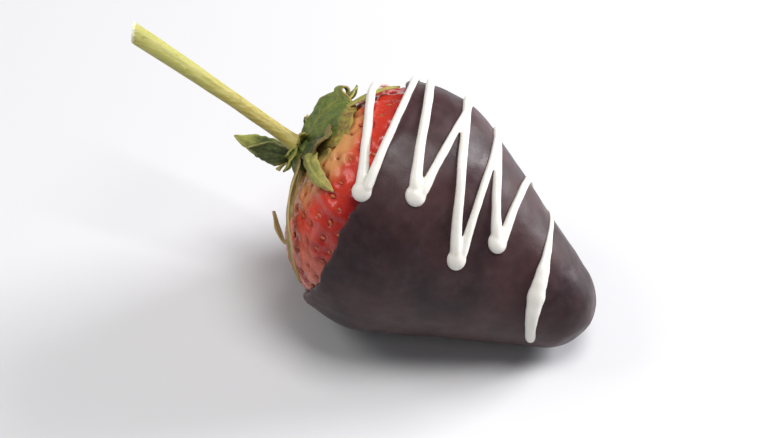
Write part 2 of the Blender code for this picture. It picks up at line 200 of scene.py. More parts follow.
def eased(points: Sequence[Vector], part: float) -> Vector:
    """Point on a smooth curve that runs evenly through some points.

    Args:
        points: the points in order.
        part: part of the way, from 0 to 1.

    Returns:
        The place on the curve.
    """
    place = part * (len(points) - 1)
    index = min(int(place), len(points) - 2)
    t = place - index
    before, here = points[max(0, index - 1)], points[index]
    after, beyond = points[index + 1], points[min(len(points) - 1, index + 2)]
    return (here * 2 + (after - before) * t
            + (before * 2 - here * 5 + after * 4 - beyond) * (t * t)
            + (here * 3 - before - after * 3 + beyond) * (t * t * t)) / 2


# The berry's form


@dataclass(frozen=True)
class Wave:
    """A wave round the axis: its size, count, drift towards the nose and phase."""

    size: float
    count: int
    drift: float = 0.0
    phase: float = 0.0

    def at(self, turn: float, share: float = 0.0) -> float:
        """Height of the wave at a turn and a share of the outline."""
        return self.size * math.sin(self.count * turn + self.drift * share + self.phase)


@dataclass
class BerryForm:
    """The surface that every piece follows, with the same sizes as the solids.

    In the berry's own frame X runs from the shoulder to the nose and Z to the upper side. A
    turn is an angle about X, 0 on the upper side and 90 degrees on the -Y side. A share is a
    place on the outline, 0 at the shoulder's middle and 1 at the nose.
    """

    length: float = 0.0488
    girth_radius: float = 0.0183
    girth_along: float = 0.0150
    nose_radius: float = 0.0063
    flank_angle: float = math.radians(25)
    shoulder_power: float = 2.6
    dip: float = math.radians(22)
    girth_share: float = 0.42
    flank_share: float = 0.52
    nose_share: float = 0.80
    waves: tuple[Wave, ...] = (
        Wave(0.020, 2, 0.0, 0.97), Wave(0.014, 3, 5.0), Wave(0.007, 5, -9.0, 1.0))
    belly: tuple[float, float, float, float] = (0.055, math.radians(132), 0.48, 0.24)
    coat_full: float = 0.0015
    coat_edge: float = 0.0011
    edge_taper: float = 0.0030
    rim_mean: float = 0.0086
    rim_slant: float = 0.0014
    rim_low_turn: float = math.radians(105)
    rim_waves: tuple[Wave, ...] = (Wave(0.00035, 4, 0.0, 0.5), Wave(0.00028, 7, 0.0, 2.0))
    rim_set_back: tuple[float, float, float] = (0.0009, math.radians(72), math.radians(40))
    coat_wave: Wave = Wave(0.10, 3, -7.0)
    foot_pool: float = 0.0005
    foot_edge: float = 1.5
    small_share: float = 0.001
    shoulder: Vector = field(default_factory=Vector)
    tilt: Matrix = field(default_factory=Matrix)

    def __post_init__(self) -> None:
        """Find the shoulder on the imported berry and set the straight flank's sizes."""
        self.tilt = Matrix.Rotation(self.dip, 3, "Y")
        axis = self.tilt @ Vector((1, 0, 0))
        corners = [vert.co.copy() for vert in frame["nodes"]["berry"].data.vertices]
        self.shoulder = min(corners, key=lambda corner: corner.dot(axis))
        self.slope = math.tan(self.flank_angle)
        self.nose_centre = self.length - self.nose_radius
        self.nose_start = self.nose_centre + self.nose_radius * math.sin(self.flank_angle)
        self.nose_start_radius = self.nose_radius * math.cos(self.flank_angle)
        flank_at_girth = self.nose_start_radius + self.slope * (self.nose_start - self.girth_along)
        self.girth_arc = (flank_at_girth - self.girth_radius) / (1 / math.cos(self.flank_angle) - 1)

    def outline(self, share: float) -> tuple[float, float]:
        """Distance along the axis and radius at a share of the outline.

        Args:
            share: share of the outline.

        Returns:
            Distance along the axis and radius, in metres.
        """
        if share < self.girth_share:
            angle = math.pi / 2 * share / self.girth_share
            flat = (math.cos(angle) / self.girth_along) ** self.shoulder_power
            steep = (math.sin(angle) / self.girth_radius) ** self.shoulder_power
            reach = (flat + steep) ** (-1 / self.shoulder_power)
            return self.girth_along - reach * math.cos(angle), reach * math.sin(angle)
        if share < self.flank_share:
            part = (share - self.girth_share) / (self.flank_share - self.girth_share)
            angle = self.flank_angle * part
            return (self.girth_along + self.girth_arc * math.sin(angle),
                    self.girth_radius - self.girth_arc * (1 - math.cos(angle)))
        if share < self.nose_share:
            start = self.girth_along + self.girth_arc * math.sin(self.flank_angle)
            part = (share - self.flank_share) / (self.nose_share - self.flank_share)
            along = start + (self.nose_start - start) * part
            return along, self.nose_start_radius + self.slope * (self.nose_start - along)
        part = (share - self.nose_share) / (1 - self.nose_share)
        angle = self.flank_angle + (math.pi / 2 - self.flank_angle) * part
        return (self.nose_centre + self.nose_radius * math.sin(angle),
                self.nose_radius * math.cos(angle))

    def outline_normal(self, share: float) -> tuple[float, float]:
        """Outward unit normal of the outline, along the axis and away from it.

        Args:
            share: share of the outline, from the shoulder to the nose.

        Returns:
            Its parts along and away from the axis.
        """
        nudge = self.small_share / 2
        if share < nudge:
            return -1.0, 0.0
        if share > 1 - nudge:
            return 1.0, 0.0
        along_a, radius_a = self.outline(share - nudge)
        along_b, radius_b = self.outline(share + nudge)
        size = math.hypot(along_b - along_a, radius_b - radius_a)
        return (radius_a - radius_b) / size, (along_b - along_a) / size

    def share_at(self, along: float) -> float:
        """Share of the outline at a distance along the axis.

        Args:
            along: distance along the axis in metres.

        Returns:
            The share of the outline.
        """
        low, high = 0.0, 1.0
        for _ in range(32):
            middle = (low + high) / 2
            if self.outline(middle)[0] < along:
                low = middle
            else:
                high = middle
        return (low + high) / 2

    def share_after(self, distance: float) -> float:
        """Share of the outline at a distance over the skin from the shoulder's middle.

        Args:
            distance: distance in metres.

        Returns:
            The share of the outline.
        """
        share, gone = 0.0, 0.0
        while gone < distance and share < 1:
            along_a, radius_a = self.outline(share)
            along_b, radius_b = self.outline(share + self.small_share)
            gone += math.hypot(along_b - along_a, radius_b - radius_a)
            share += self.small_share
        return share

    def lumps(self, share: float, turn: float) -> float:
        """How far the radius departs from a round one, as a share of the radius.

        Args:
            share: share of the outline, from the shoulder to the nose.
            turn: angle round the axis in radians.

        Returns:
            The departure.
        """
        swell, middle_turn, middle_share, spread = self.belly
        belly = swell * max(0.0, math.cos(turn - middle_turn)) ** 2
        belly *= math.exp(-((share - middle_share) / spread) ** 2)
        return belly + sum(wave.at(turn, share) for wave in self.waves)

    def skin(self, share: float, turn: float, lift: float = 0.0) -> Vector:
        """Point in the berry's own frame at a lift off the bare berry.

        Args:
            share: share of the outline, from the shoulder to the nose.
            turn: angle round the axis in radians.
            lift: height over the bare berry in metres.

        Returns:
            The point.
        """
        along, radius = self.outline(share)
        normal_along, normal_out = self.outline_normal(share)
        radius = radius * (1 + self.lumps(share, turn)) + normal_out * lift
        return Vector((along + normal_along * lift,
                       -radius * math.sin(turn),
                       radius * math.cos(turn)))

    def skin_normal(self, share: float, turn: float) -> Vector:
        """Outward unit normal in the berry's own frame."""
        normal_along, normal_out = self.outline_normal(share)
        return Vector((normal_along, -normal_out * math.sin(turn), normal_out * math.cos(turn)))

    def rim_along(self, turn: float) -> float:
        """Distance along the axis at which the chocolate ends.

        Args:
            turn: angle round the axis in radians.

        Returns:
            The distance in metres.
        """
        slant = self.rim_slant * math.cos(turn - self.rim_low_turn)
        depth, middle, spread = self.rim_set_back
        beside = math.remainder(turn - middle, 2 * math.pi) / spread
        slant += depth * math.exp(-beside * beside)
        return self.rim_mean + slant + sum(wave.at(turn) for wave in self.rim_waves)

    def coat_lift(self, share: float, turn: float) -> float:
        """Lift of the chocolate's outside over the bare berry.

        Args:
            share: share of the outline, from the shoulder to the nose.
            turn: angle round the axis in radians.

        Returns:
            The lift in metres.
        """
        beyond = max(0.0, self.outline(share)[0] - self.rim_along(turn))
        fullness = 1 - math.exp(-beyond / self.edge_taper)
        uneven = 1 + self.coat_wave.at(turn, share) * fullness
        return (self.coat_edge + (self.coat_full - self.coat_edge) * fullness) * uneven

    def placed(self, point: Vector) -> Vector:
        """Turn a point in the berry's own frame into a place in the row's frame."""
        return self.shoulder + self.tilt @ point

    def footed(self, place: Vector) -> Vector:
        """Settle a place on the ground, where the lowest chocolate lies flat."""
        height = max(0.0, min(place.z, self.foot_edge * (place.z - self.foot_pool)))
        return Vector((place.x, place.y, height))


# Finishes


Output = bpy.types.NodeSocket
Input = Output | float | Colour | tuple[float, float, float, float]


class Effects:
    """Shader node groups that several finishes share, each built once."""

    _made: dict[str, bpy.types.NodeTree] = {}

    @classmethod
    def _group(cls, name: str, numbers: dict[str, float], outputs: dict[str, str]) -> tuple:
        """Start a node group with a vector input, number inputs and outputs.

        Args:
            name: the group's name.
            numbers: name and default of each number input.
            outputs: name and socket kind of each output.

        Returns:
            The tree, its input node and its output node.
        """
        tree = bpy.data.node_groups.new(name, "ShaderNodeTree")
        tree.interface.new_socket("Vector", in_out="INPUT", socket_type="NodeSocketVector")
        for label, default in numbers.items():
            socket = tree.interface.new_socket(label, in_out="INPUT", socket_type="NodeSocketFloat")
            socket.default_value = default
        for label, kind in outputs.items():
            tree.interface.new_socket(label, in_out="OUTPUT", socket_type=kind)
        cls._made[name] = tree
        return tree, tree.nodes.new("NodeGroupInput"), tree.nodes.new("NodeGroupOutput")

    @classmethod
    def mottle(cls) -> bpy.types.NodeTree:
        """Soft patches: a mask from 0 to 1 at a scale, with a sharpness.

        Returns:
            The shared node group.
        """
        if "mottle" in cls._made:
            return cls._made["mottle"]
        tree, source, result = cls._group(
            "mottle", {"Scale": 300.0, "Sharpness": 2.0}, {"Mask": "NodeSocketFloat"})
        cloud = tree.nodes.new("ShaderNodeTexNoise")
        cloud.inputs["Detail"].default_value = 3.0
        cloud.inputs["Roughness"].default_value = 0.55
        centre, spread, back = (tree.nodes.new("ShaderNodeMath") for _ in range(3))
        for node, operation in ((centre, "SUBTRACT"), (spread, "MULTIPLY"), (back, "ADD")):
            node.operation = operation
            node.inputs[1].default_value = 0.5
        back.use_clamp = True
        tree.links.new(source.outputs["Vector"], cloud.inputs["Vector"])
        tree.links.new(source.outputs["Scale"], cloud.inputs["Scale"])
        tree.links.new(cloud.outputs["Fac"], centre.inputs[0])
        tree.links.new(centre.outputs[0], spread.inputs[0])
        tree.links.new(source.outputs["Sharpness"], spread.inputs[1])
        tree.links.new(spread.outputs[0], back.inputs[0])
        tree.links.new(back.outputs[0], result.inputs["Mask"])
        return tree

    @classmethod
    def grain(cls) -> bpy.types.NodeTree:
        """Height of a fine grain over a coarser swell, each at a scale of its own.

        Returns:
            The shared node group.
        """
        if "grain" in cls._made:
            return cls._made["grain"]
        tree, source, result = cls._group(
            "grain", {"Fine": 2500.0, "Coarse": 250.0, "Fine Share": 0.4},
            {"Height": "NodeSocketFloat"})
        fine = tree.nodes.new("ShaderNodeTexNoise")
        fine.inputs["Detail"].default_value = 2.0
        coarse = tree.nodes.new("ShaderNodeTexNoise")
        coarse.inputs["Detail"].default_value = 1.0
        blend = tree.nodes.new("ShaderNodeMix")
        tree.links.new(source.outputs["Vector"], fine.inputs["Vector"])
        tree.links.new(source.outputs["Vector"], coarse.inputs["Vector"])
        tree.links.new(source.outputs["Fine"], fine.inputs["Scale"])
        tree.links.new(source.outputs["Coarse"], coarse.inputs["Scale"])
        tree.links.new(source.outputs["Fine Share"], blend.inputs[0])
        tree.links.new(coarse.outputs["Fac"], blend.inputs[2])
        tree.links.new(fine.outputs["Fac"], blend.inputs[3])
        tree.links.new(blend.outputs[0], result.inputs["Height"])
        return tree


class Board:
    """One material's nodes, with short ways to add and join them."""

    def __init__(self, name: str) -> None:
        """Start a material with its shader.

        Args:
            name: the material's name.
        """
        self.material = bpy.data.materials.new(name)
        self.material.use_nodes = True
        self.tree = self.material.node_tree
        self.shader = self.tree.nodes["Principled BSDF"]
        self.vector = self.tree.nodes.new("ShaderNodeTexCoord").outputs["Object"]

    def feed(self, socket: bpy.types.NodeSocket, value: Input) -> None:
        """Join an output to a socket, or set the socket to a plain value.

        Args:
            socket: the input that is set.
            value: an output or a plain value.
        """
        if isinstance(value, bpy.types.NodeSocket):
            self.tree.links.new(value, socket)
        else:
            socket.default_value = value

    def settings(self, **values: Input) -> None:
        """Set the shader's own sockets, named with underscores for spaces."""
        for name, value in values.items():
            self.feed(self.shader.inputs[name.replace("_", " ")], value)

    def attribute(self, name: str) -> Output:
        """A number that the piece stores for each vertex.

        Args:
            name: the attribute's name.

        Returns:
            The attribute's output.
        """
        node = self.tree.nodes.new("ShaderNodeAttribute")
        node.attribute_name = name
        return node.outputs["Fac"]

    def stretched(self, scale: Point, turned: float) -> Output:
        """The piece's coordinates scaled along each axis and turned about Y.

        Args:
            scale: scale along each axis.
            turned: angle about Y in radians.

        Returns:
            The changed coordinates.
        """
        node = self.tree.nodes.new("ShaderNodeMapping")
        node.inputs["Rotation"].default_value = (0.0, turned, 0.0)
        node.inputs["Scale"].default_value = scale
        self.tree.links.new(self.vector, node.inputs["Vector"])
        return node.outputs["Vector"]

    def noise(self, scale: float, detail: float, vector: Output | None = None) -> Output:
        """A cloudy number over the surface.

        Args:
            scale: how many features there are to a metre.
            detail: how many octaves are added.
            vector: coordinates to read, or None for the piece's own.

        Returns:
            A number from 0 to 1.
        """
        node = self.tree.nodes.new("ShaderNodeTexNoise")
        node.inputs["Scale"].default_value = scale
        node.inputs["Detail"].default_value = detail
        self.tree.links.new(vector or self.vector, node.inputs["Vector"])
        return node.outputs["Fac"]

    def effect(self, tree: bpy.types.NodeTree, values: dict[str, float]) -> Output:
        """Place a shared node group on the piece's coordinates.

        Args:
            tree: the node group.
            values: its number inputs.

        Returns:
            The group's only output.
        """
        node = self.tree.nodes.new("ShaderNodeGroup")
        node.node_tree = tree
        self.tree.links.new(self.vector, node.inputs["Vector"])
        for name, value in values.items():
            node.inputs[name].default_value = value
        return node.outputs[0]

    def mottle(self, scale: float, sharpness: float) -> Output:
        """Mask of soft patches."""
        return self.effect(Effects.mottle(), {"Scale": scale, "Sharpness": sharpness})

    def grain(self, fine: float, coarse: float, share: float) -> Output:
        """Height of a fine grain over a coarser swell."""
        return self.effect(Effects.grain(), {"Fine": fine, "Coarse": coarse, "Fine Share": share})

    def maths(self, operation: str, first: Input, second: Input = 0.0) -> Output:
        """One sum on numbers or outputs.

        Args:
            operation: the sum's name.
            first: its first value.
            second: its second value.

        Returns:
            The sum's output.
        """
        node = self.tree.nodes.new("ShaderNodeMath")
        node.operation = operation
        self.feed(node.inputs[0], first)
        self.feed(node.inputs[1], second)
        return node.outputs[0]

    def between(self, value: Output, low: float, high: float) -> Output:
        """Ease a number from 0 at low to 1 at high.

        Args:
            value: the number that is eased.
            low: the number that gives 0.
            high: the number that gives 1.

        Returns:
            The eased number.
        """
        node = self.tree.nodes.new("ShaderNodeMapRange")
        node.interpolation_type = "SMOOTHSTEP"
        node.inputs["From Min"].default_value = low
        node.inputs["From Max"].default_value = high
        self.tree.links.new(value, node.inputs["Value"])
        return node.outputs["Result"]

    def ranged(self, value: Output, low: float, high: float) -> Output:
        """Stretch a number from 0 and 1 to low and high.

        Args:
            value: the number from 0 to 1.
            low: what 0 becomes.
            high: what 1 becomes.

        Returns:
            The stretched number.
        """
        node = self.tree.nodes.new("ShaderNodeMapRange")
        node.inputs["To Min"].default_value = low
        node.inputs["To Max"].default_value = high
        self.tree.links.new(value, node.inputs["Value"])
        return node.outputs["Result"]

    def mix(self, factor: Input, first: Input, second: Input) -> Output:
        """Blend two colours by a factor.

        Args:
            factor: the second colour's share.
            first: the first colour.
            second: the second colour.

        Returns:
            The blended colour.
        """
        node = self.tree.nodes.new("ShaderNodeMix")
        node.data_type = "RGBA"
        self.feed(node.inputs[0], factor)
        for socket, colour in ((node.inputs[6], first), (node.inputs[7], second)):
            self.feed(socket, (*colour, 1.0) if isinstance(colour, tuple) else colour)
        return node.outputs[2]

    def bump(self, height: Output, strength: float, distance: float,
             normal: Output | None = None) -> Output:
        """A normal that is roughened by a height.

        Args:
            height: the height over the surface.
            strength: how strongly it shows.
            distance: the height's full size in metres.
            normal: a normal that this one builds on, or None.

        Returns:
            The new normal.
        """
        node = self.tree.nodes.new("ShaderNodeBump")
        node.inputs["Strength"].default_value = strength
        node.inputs["Distance"].default_value = distance
        self.tree.links.new(height, node.inputs["Height"])
        if normal is not None:
            self.tree.links.new(normal, node.inputs["Normal"])
        return node.outputs["Normal"]


@dataclass(frozen=True)
class DarkChocolate:
    """Set dark chocolate: satin and mottled, from a red brown to a cool dark brown."""

    deep: Colour = (0.022, 0.0105, 0.0130)
    warm: Colour = (0.052, 0.0220, 0.0225)
    bloom: Colour = (0.115, 0.072, 0.082)

    def build(self) -> bpy.types.Material:
        """Build the material.

        Returns:
            The material.
        """
        board = Board("dark_chocolate")
        colour = board.mix(board.mottle(95.0, 3.4), self.deep, self.warm)
        clouds = board.maths("MULTIPLY", board.mottle(210.0, 3.0), board.mottle(620.0, 2.6))
        colour = board.mix(board.maths("MULTIPLY", clouds, 0.26), colour, self.bloom)
        rough = board.ranged(board.mottle(340.0, 2.4), 0.34, 0.50)
        swell = board.bump(board.noise(170.0, 2.0), 0.40, 0.0007)
        normal = board.bump(board.grain(3600.0, 800.0, 0.45), 0.30, 0.00014, swell)
        board.settings(Base_Color=colour, Roughness=rough, Normal=normal,
                       Specular_IOR_Level=0.26)
        return board.material


@dataclass(frozen=True)
class WhiteChocolate:
    """Set white chocolate: smooth and faintly creamy."""

    bright: Colour = (0.80, 0.785, 0.745)
    cream: Colour = (0.72, 0.69, 0.62)

    def build(self) -> bpy.types.Material:
        """Build the material.

        Returns:
            The material.
        """
        board = Board("white_chocolate")
        colour = board.mix(board.mottle(420.0, 2.0), self.bright, self.cream)
        rough = board.ranged(board.mottle(900.0, 2.0), 0.30, 0.42)
        normal = board.bump(board.grain(3800.0, 1100.0, 0.4), 0.16, 0.00010)
        board.settings(Base_Color=colour, Roughness=rough, Normal=normal,
                       Specular_IOR_Level=0.5, Subsurface_Weight=0.18, Subsurface_Scale=0.0012,
                       Subsurface_Radius=(1.0, 0.9, 0.7))
        return board.material


@dataclass(frozen=True)
class BerryFlesh:
    """Moist flesh: pale by the leaves, then orange, then a deep glossy red; painted light makes its
    lower side paler and painted shade darkens the seed pits.
    """

    neck: Colour = (0.56, 0.42, 0.13)
    orange: Colour = (0.68, 0.31, 0.115)
    red: Colour = (0.56, 0.040, 0.022)
    deep: Colour = (0.32, 0.010, 0.009)
    # Painted light: pale pink that lightens the lower side of the flesh, where light and glare
    # fall.
    blush: Colour = (0.92, 0.31, 0.20)
    pale: Colour = (0.66, 0.12, 0.06)
    # Painted shade: dark red for the shade in the seed pits.
    pit_shade: Colour = (0.26, 0.014, 0.010)
    wobble: float = 3.4

    def build(self) -> bpy.types.Material:
        """Build the material.

        Returns:
            The material.
        """
        board = Board("berry_red")
        wobble = board.maths("SUBTRACT", board.noise(260.0, 3.0), 0.5)
        wobble = board.maths("MULTIPLY", wobble, self.wobble)
        ripe = board.maths("ADD", board.attribute("ripeness"), wobble)
        colour = board.mix(board.between(ripe, 1.0, 3.0), self.neck, self.orange)
        colour = board.mix(board.between(ripe, 3.4, 6.2), colour, self.red)
        colour = board.mix(board.between(ripe, 7.0, 10.5), colour, self.deep)
        streaks = board.noise(900.0, 2.0, board.stretched((0.25, 1.0, 1.0), -math.radians(22)))
        pale = board.maths("MULTIPLY", board.between(streaks, 0.56, 0.76), 0.22)
        colour = board.mix(pale, colour, self.pale)
        # Painted light: the lower side of the flesh is painted paler in soft patches, where light
        # and glare fall.
        patches = board.between(board.noise(330.0, 3.0), 0.34, 0.56)
        blushed = board.maths("MULTIPLY", patches, board.attribute("blush"))
        colour = board.mix(blushed, colour, self.blush)
        # Painted shade: the seed pits are painted darker.
        pit_shade_mask = board.maths("MULTIPLY", board.attribute("pit"), 0.35)
        colour = board.mix(pit_shade_mask, colour, self.pit_shade)
        rough = board.ranged(board.mottle(1400.0, 2.4), 0.16, 0.32)
        normal = board.bump(board.grain(5200.0, 1300.0, 0.5), 0.34, 0.00016)
        board.settings(Base_Color=colour, Roughness=rough, Normal=normal,
                       Specular_IOR_Level=0.34, Coat_Weight=0.10, Coat_Roughness=0.10,
                       Subsurface_Weight=0.22, Subsurface_Scale=0.0015,
                       Subsurface_Radius=(1.0, 0.25, 0.15))
        return board.material


@dataclass(frozen=True)
class Seed:
    """Dry straw-coloured seed, browner in patches."""

    straw: Colour = (0.52, 0.13, 0.035)
    brown: Colour = (0.30, 0.04, 0.015)

    def build(self) -> bpy.types.Material:
        """Build the material.

        Returns:
            The material.
        """
        board = Board("seed_straw")
        colour = board.mix(board.mottle(1500.0, 2.5), self.straw, self.brown)
        normal = board.bump(board.grain(9000.0, 2500.0, 0.5), 0.3, 0.00006)
        board.settings(Base_Color=colour, Roughness=0.38, Normal=normal)
        return board.material


class LeafTone(Enum):
    """What a leaf of the cap has come to: its body, its veins, its rim and its tip; SHADED is not a
    state but painted shade, a darker copy of the green leaf.
    """

    FRESH = "fresh"
    # Painted shade: a darker copy of the green for leaves that lie in shade.
    SHADED = "shaded"
    TIPPED = "tipped"
    YELLOWING = "yellowing"
    DRIED = "dried"


@dataclass(frozen=True)
class LeafFinish:
    """Leaf with pale veins, a drying rim and tip, and fine pale hairs."""

    tone: LeafTone
    body: Colour
    dark: Colour
    rim: Colour
    tip: Colour
    dried: Colour = (0.20, 0.105, 0.045)
    hairs: Colour = (0.42, 0.47, 0.24)
    rim_share: float = 0.7
    tip_share: float = 0.8
    tip_from: float = 1.15

    def build(self) -> bpy.types.Material:
        """Build the material.

        Returns:
            The material.
        """
        board = Board(f"leaf_{self.tone.value}")
        across = board.attribute("across")
        along = board.attribute("along")
        colour = board.mix(board.mottle(900.0, 3.2), self.body, self.dark)
        rib = board.maths("SUBTRACT", 1.0, board.between(across, 0.02, 0.11))
        lean = board.maths("MULTIPLY", across, 0.55)
        rows = board.maths("SUBTRACT", along, lean)
        comb = board.maths("SINE", board.maths("MULTIPLY", rows, 34.0))
        side_veins = board.between(comb, 0.72, 0.98)
        veins = board.maths("MAXIMUM", rib, board.maths("MULTIPLY", side_veins, 0.6))
        colour = board.mix(board.maths("MULTIPLY", veins, 0.30), colour, self.rim)
        wander = board.maths("MULTIPLY", board.noise(700.0, 3.0), 0.5)
        edge = board.between(board.maths("ADD", across, wander), 0.95, 1.3)
        colour = board.mix(board.maths("MULTIPLY", edge, self.rim_share), colour, self.rim)
        ending = board.between(board.maths("ADD", along, wander),
                               self.tip_from - 0.2, self.tip_from + 0.2)
        colour = board.mix(board.maths("MULTIPLY", ending, self.tip_share), colour, self.tip)
        parched = board.maths("ADD", board.attribute("dry"), board.maths("SUBTRACT", wander, 0.25))
        parched = board.between(parched, 0.35, 0.75)
        colour = board.mix(board.maths("MULTIPLY", parched, 0.85), colour,
                           board.mix(board.mottle(1300.0, 3.0), self.dried, self.rim))
        hairs = board.noise(3200.0, 3.0, board.stretched((1.0, 1.0, 0.22), 0.9))
        pale = board.maths("MULTIPLY", board.between(hairs, 0.58, 0.74), 0.20)
        colour = board.mix(pale, colour, self.hairs)
        relief = board.bump(veins, 0.5, 0.00012)
        normal = board.bump(board.grain(4200.0, 1100.0, 0.5), 0.55, 0.00018, relief)
        board.settings(Base_Color=colour, Roughness=0.58, Normal=normal,
                       Specular_IOR_Level=0.38, Subsurface_Weight=0.08,
                       Subsurface_Scale=0.0006, Subsurface_Radius=(0.5, 0.8, 0.2))
        return board.material


@dataclass(frozen=True)
class StalkFinish:
    """Stalk: pale yellow-green, more golden towards the cap, streaked along its length."""

    fresh: Colour = (0.43, 0.42, 0.105)
    golden: Colour = (0.38, 0.30, 0.052)
    pith: Colour = (0.72, 0.70, 0.50)
    fibre: Colour = (0.56, 0.50, 0.19)
    spot: Colour = (0.30, 0.24, 0.05)
    grain_angle: float = -math.radians(22)

    def build(self) -> bpy.types.Material:
        """Build the material.

        Returns:
            The material.
        """
        board = Board("stem_green")
        along = board.attribute("along")
        colour = board.mix(board.between(along, 0.25, 0.72), self.golden, self.fresh)
        fibres = board.noise(2600.0, 3.0, board.stretched((0.06, 1.0, 1.0), self.grain_angle))
        colour = board.mix(board.maths("MULTIPLY", board.between(fibres, 0.40, 0.66), 0.55),
                           colour, self.fibre)
        spots = board.maths("MULTIPLY", board.between(board.noise(800.0, 3.0), 0.60, 0.72), 0.5)
        colour = board.mix(spots, colour, self.spot)
        colour = board.mix(board.between(along, 0.955, 0.985), colour, self.pith)
        ridges = board.bump(fibres, 0.5, 0.00015)
        normal = board.bump(board.grain(5200.0, 1400.0, 0.5), 0.3, 0.00010, ridges)
        board.settings(Base_Color=colour, Roughness=0.46, Normal=normal,
                       Specular_IOR_Level=0.45, Subsurface_Weight=0.10,
                       Subsurface_Scale=0.0008, Subsurface_Radius=(0.7, 0.8, 0.3))
        return board.material


@dataclass(frozen=True)
class TableFinish:
    """A plain pale table top."""

    colour: Colour = (0.67, 0.67, 0.685)
    shade_share: float = 0.97

    def build(self) -> bpy.types.Material:
        """Build the material.

        Returns:
            The material.
        """
        board = Board("table_pale")
        shade = tuple(self.shade_share * part for part in self.colour)
        board.settings(Base_Color=board.mix(board.noise(6.0, 2.0), self.colour, shade),
                       Roughness=0.55)
        return board.material


# Pieces


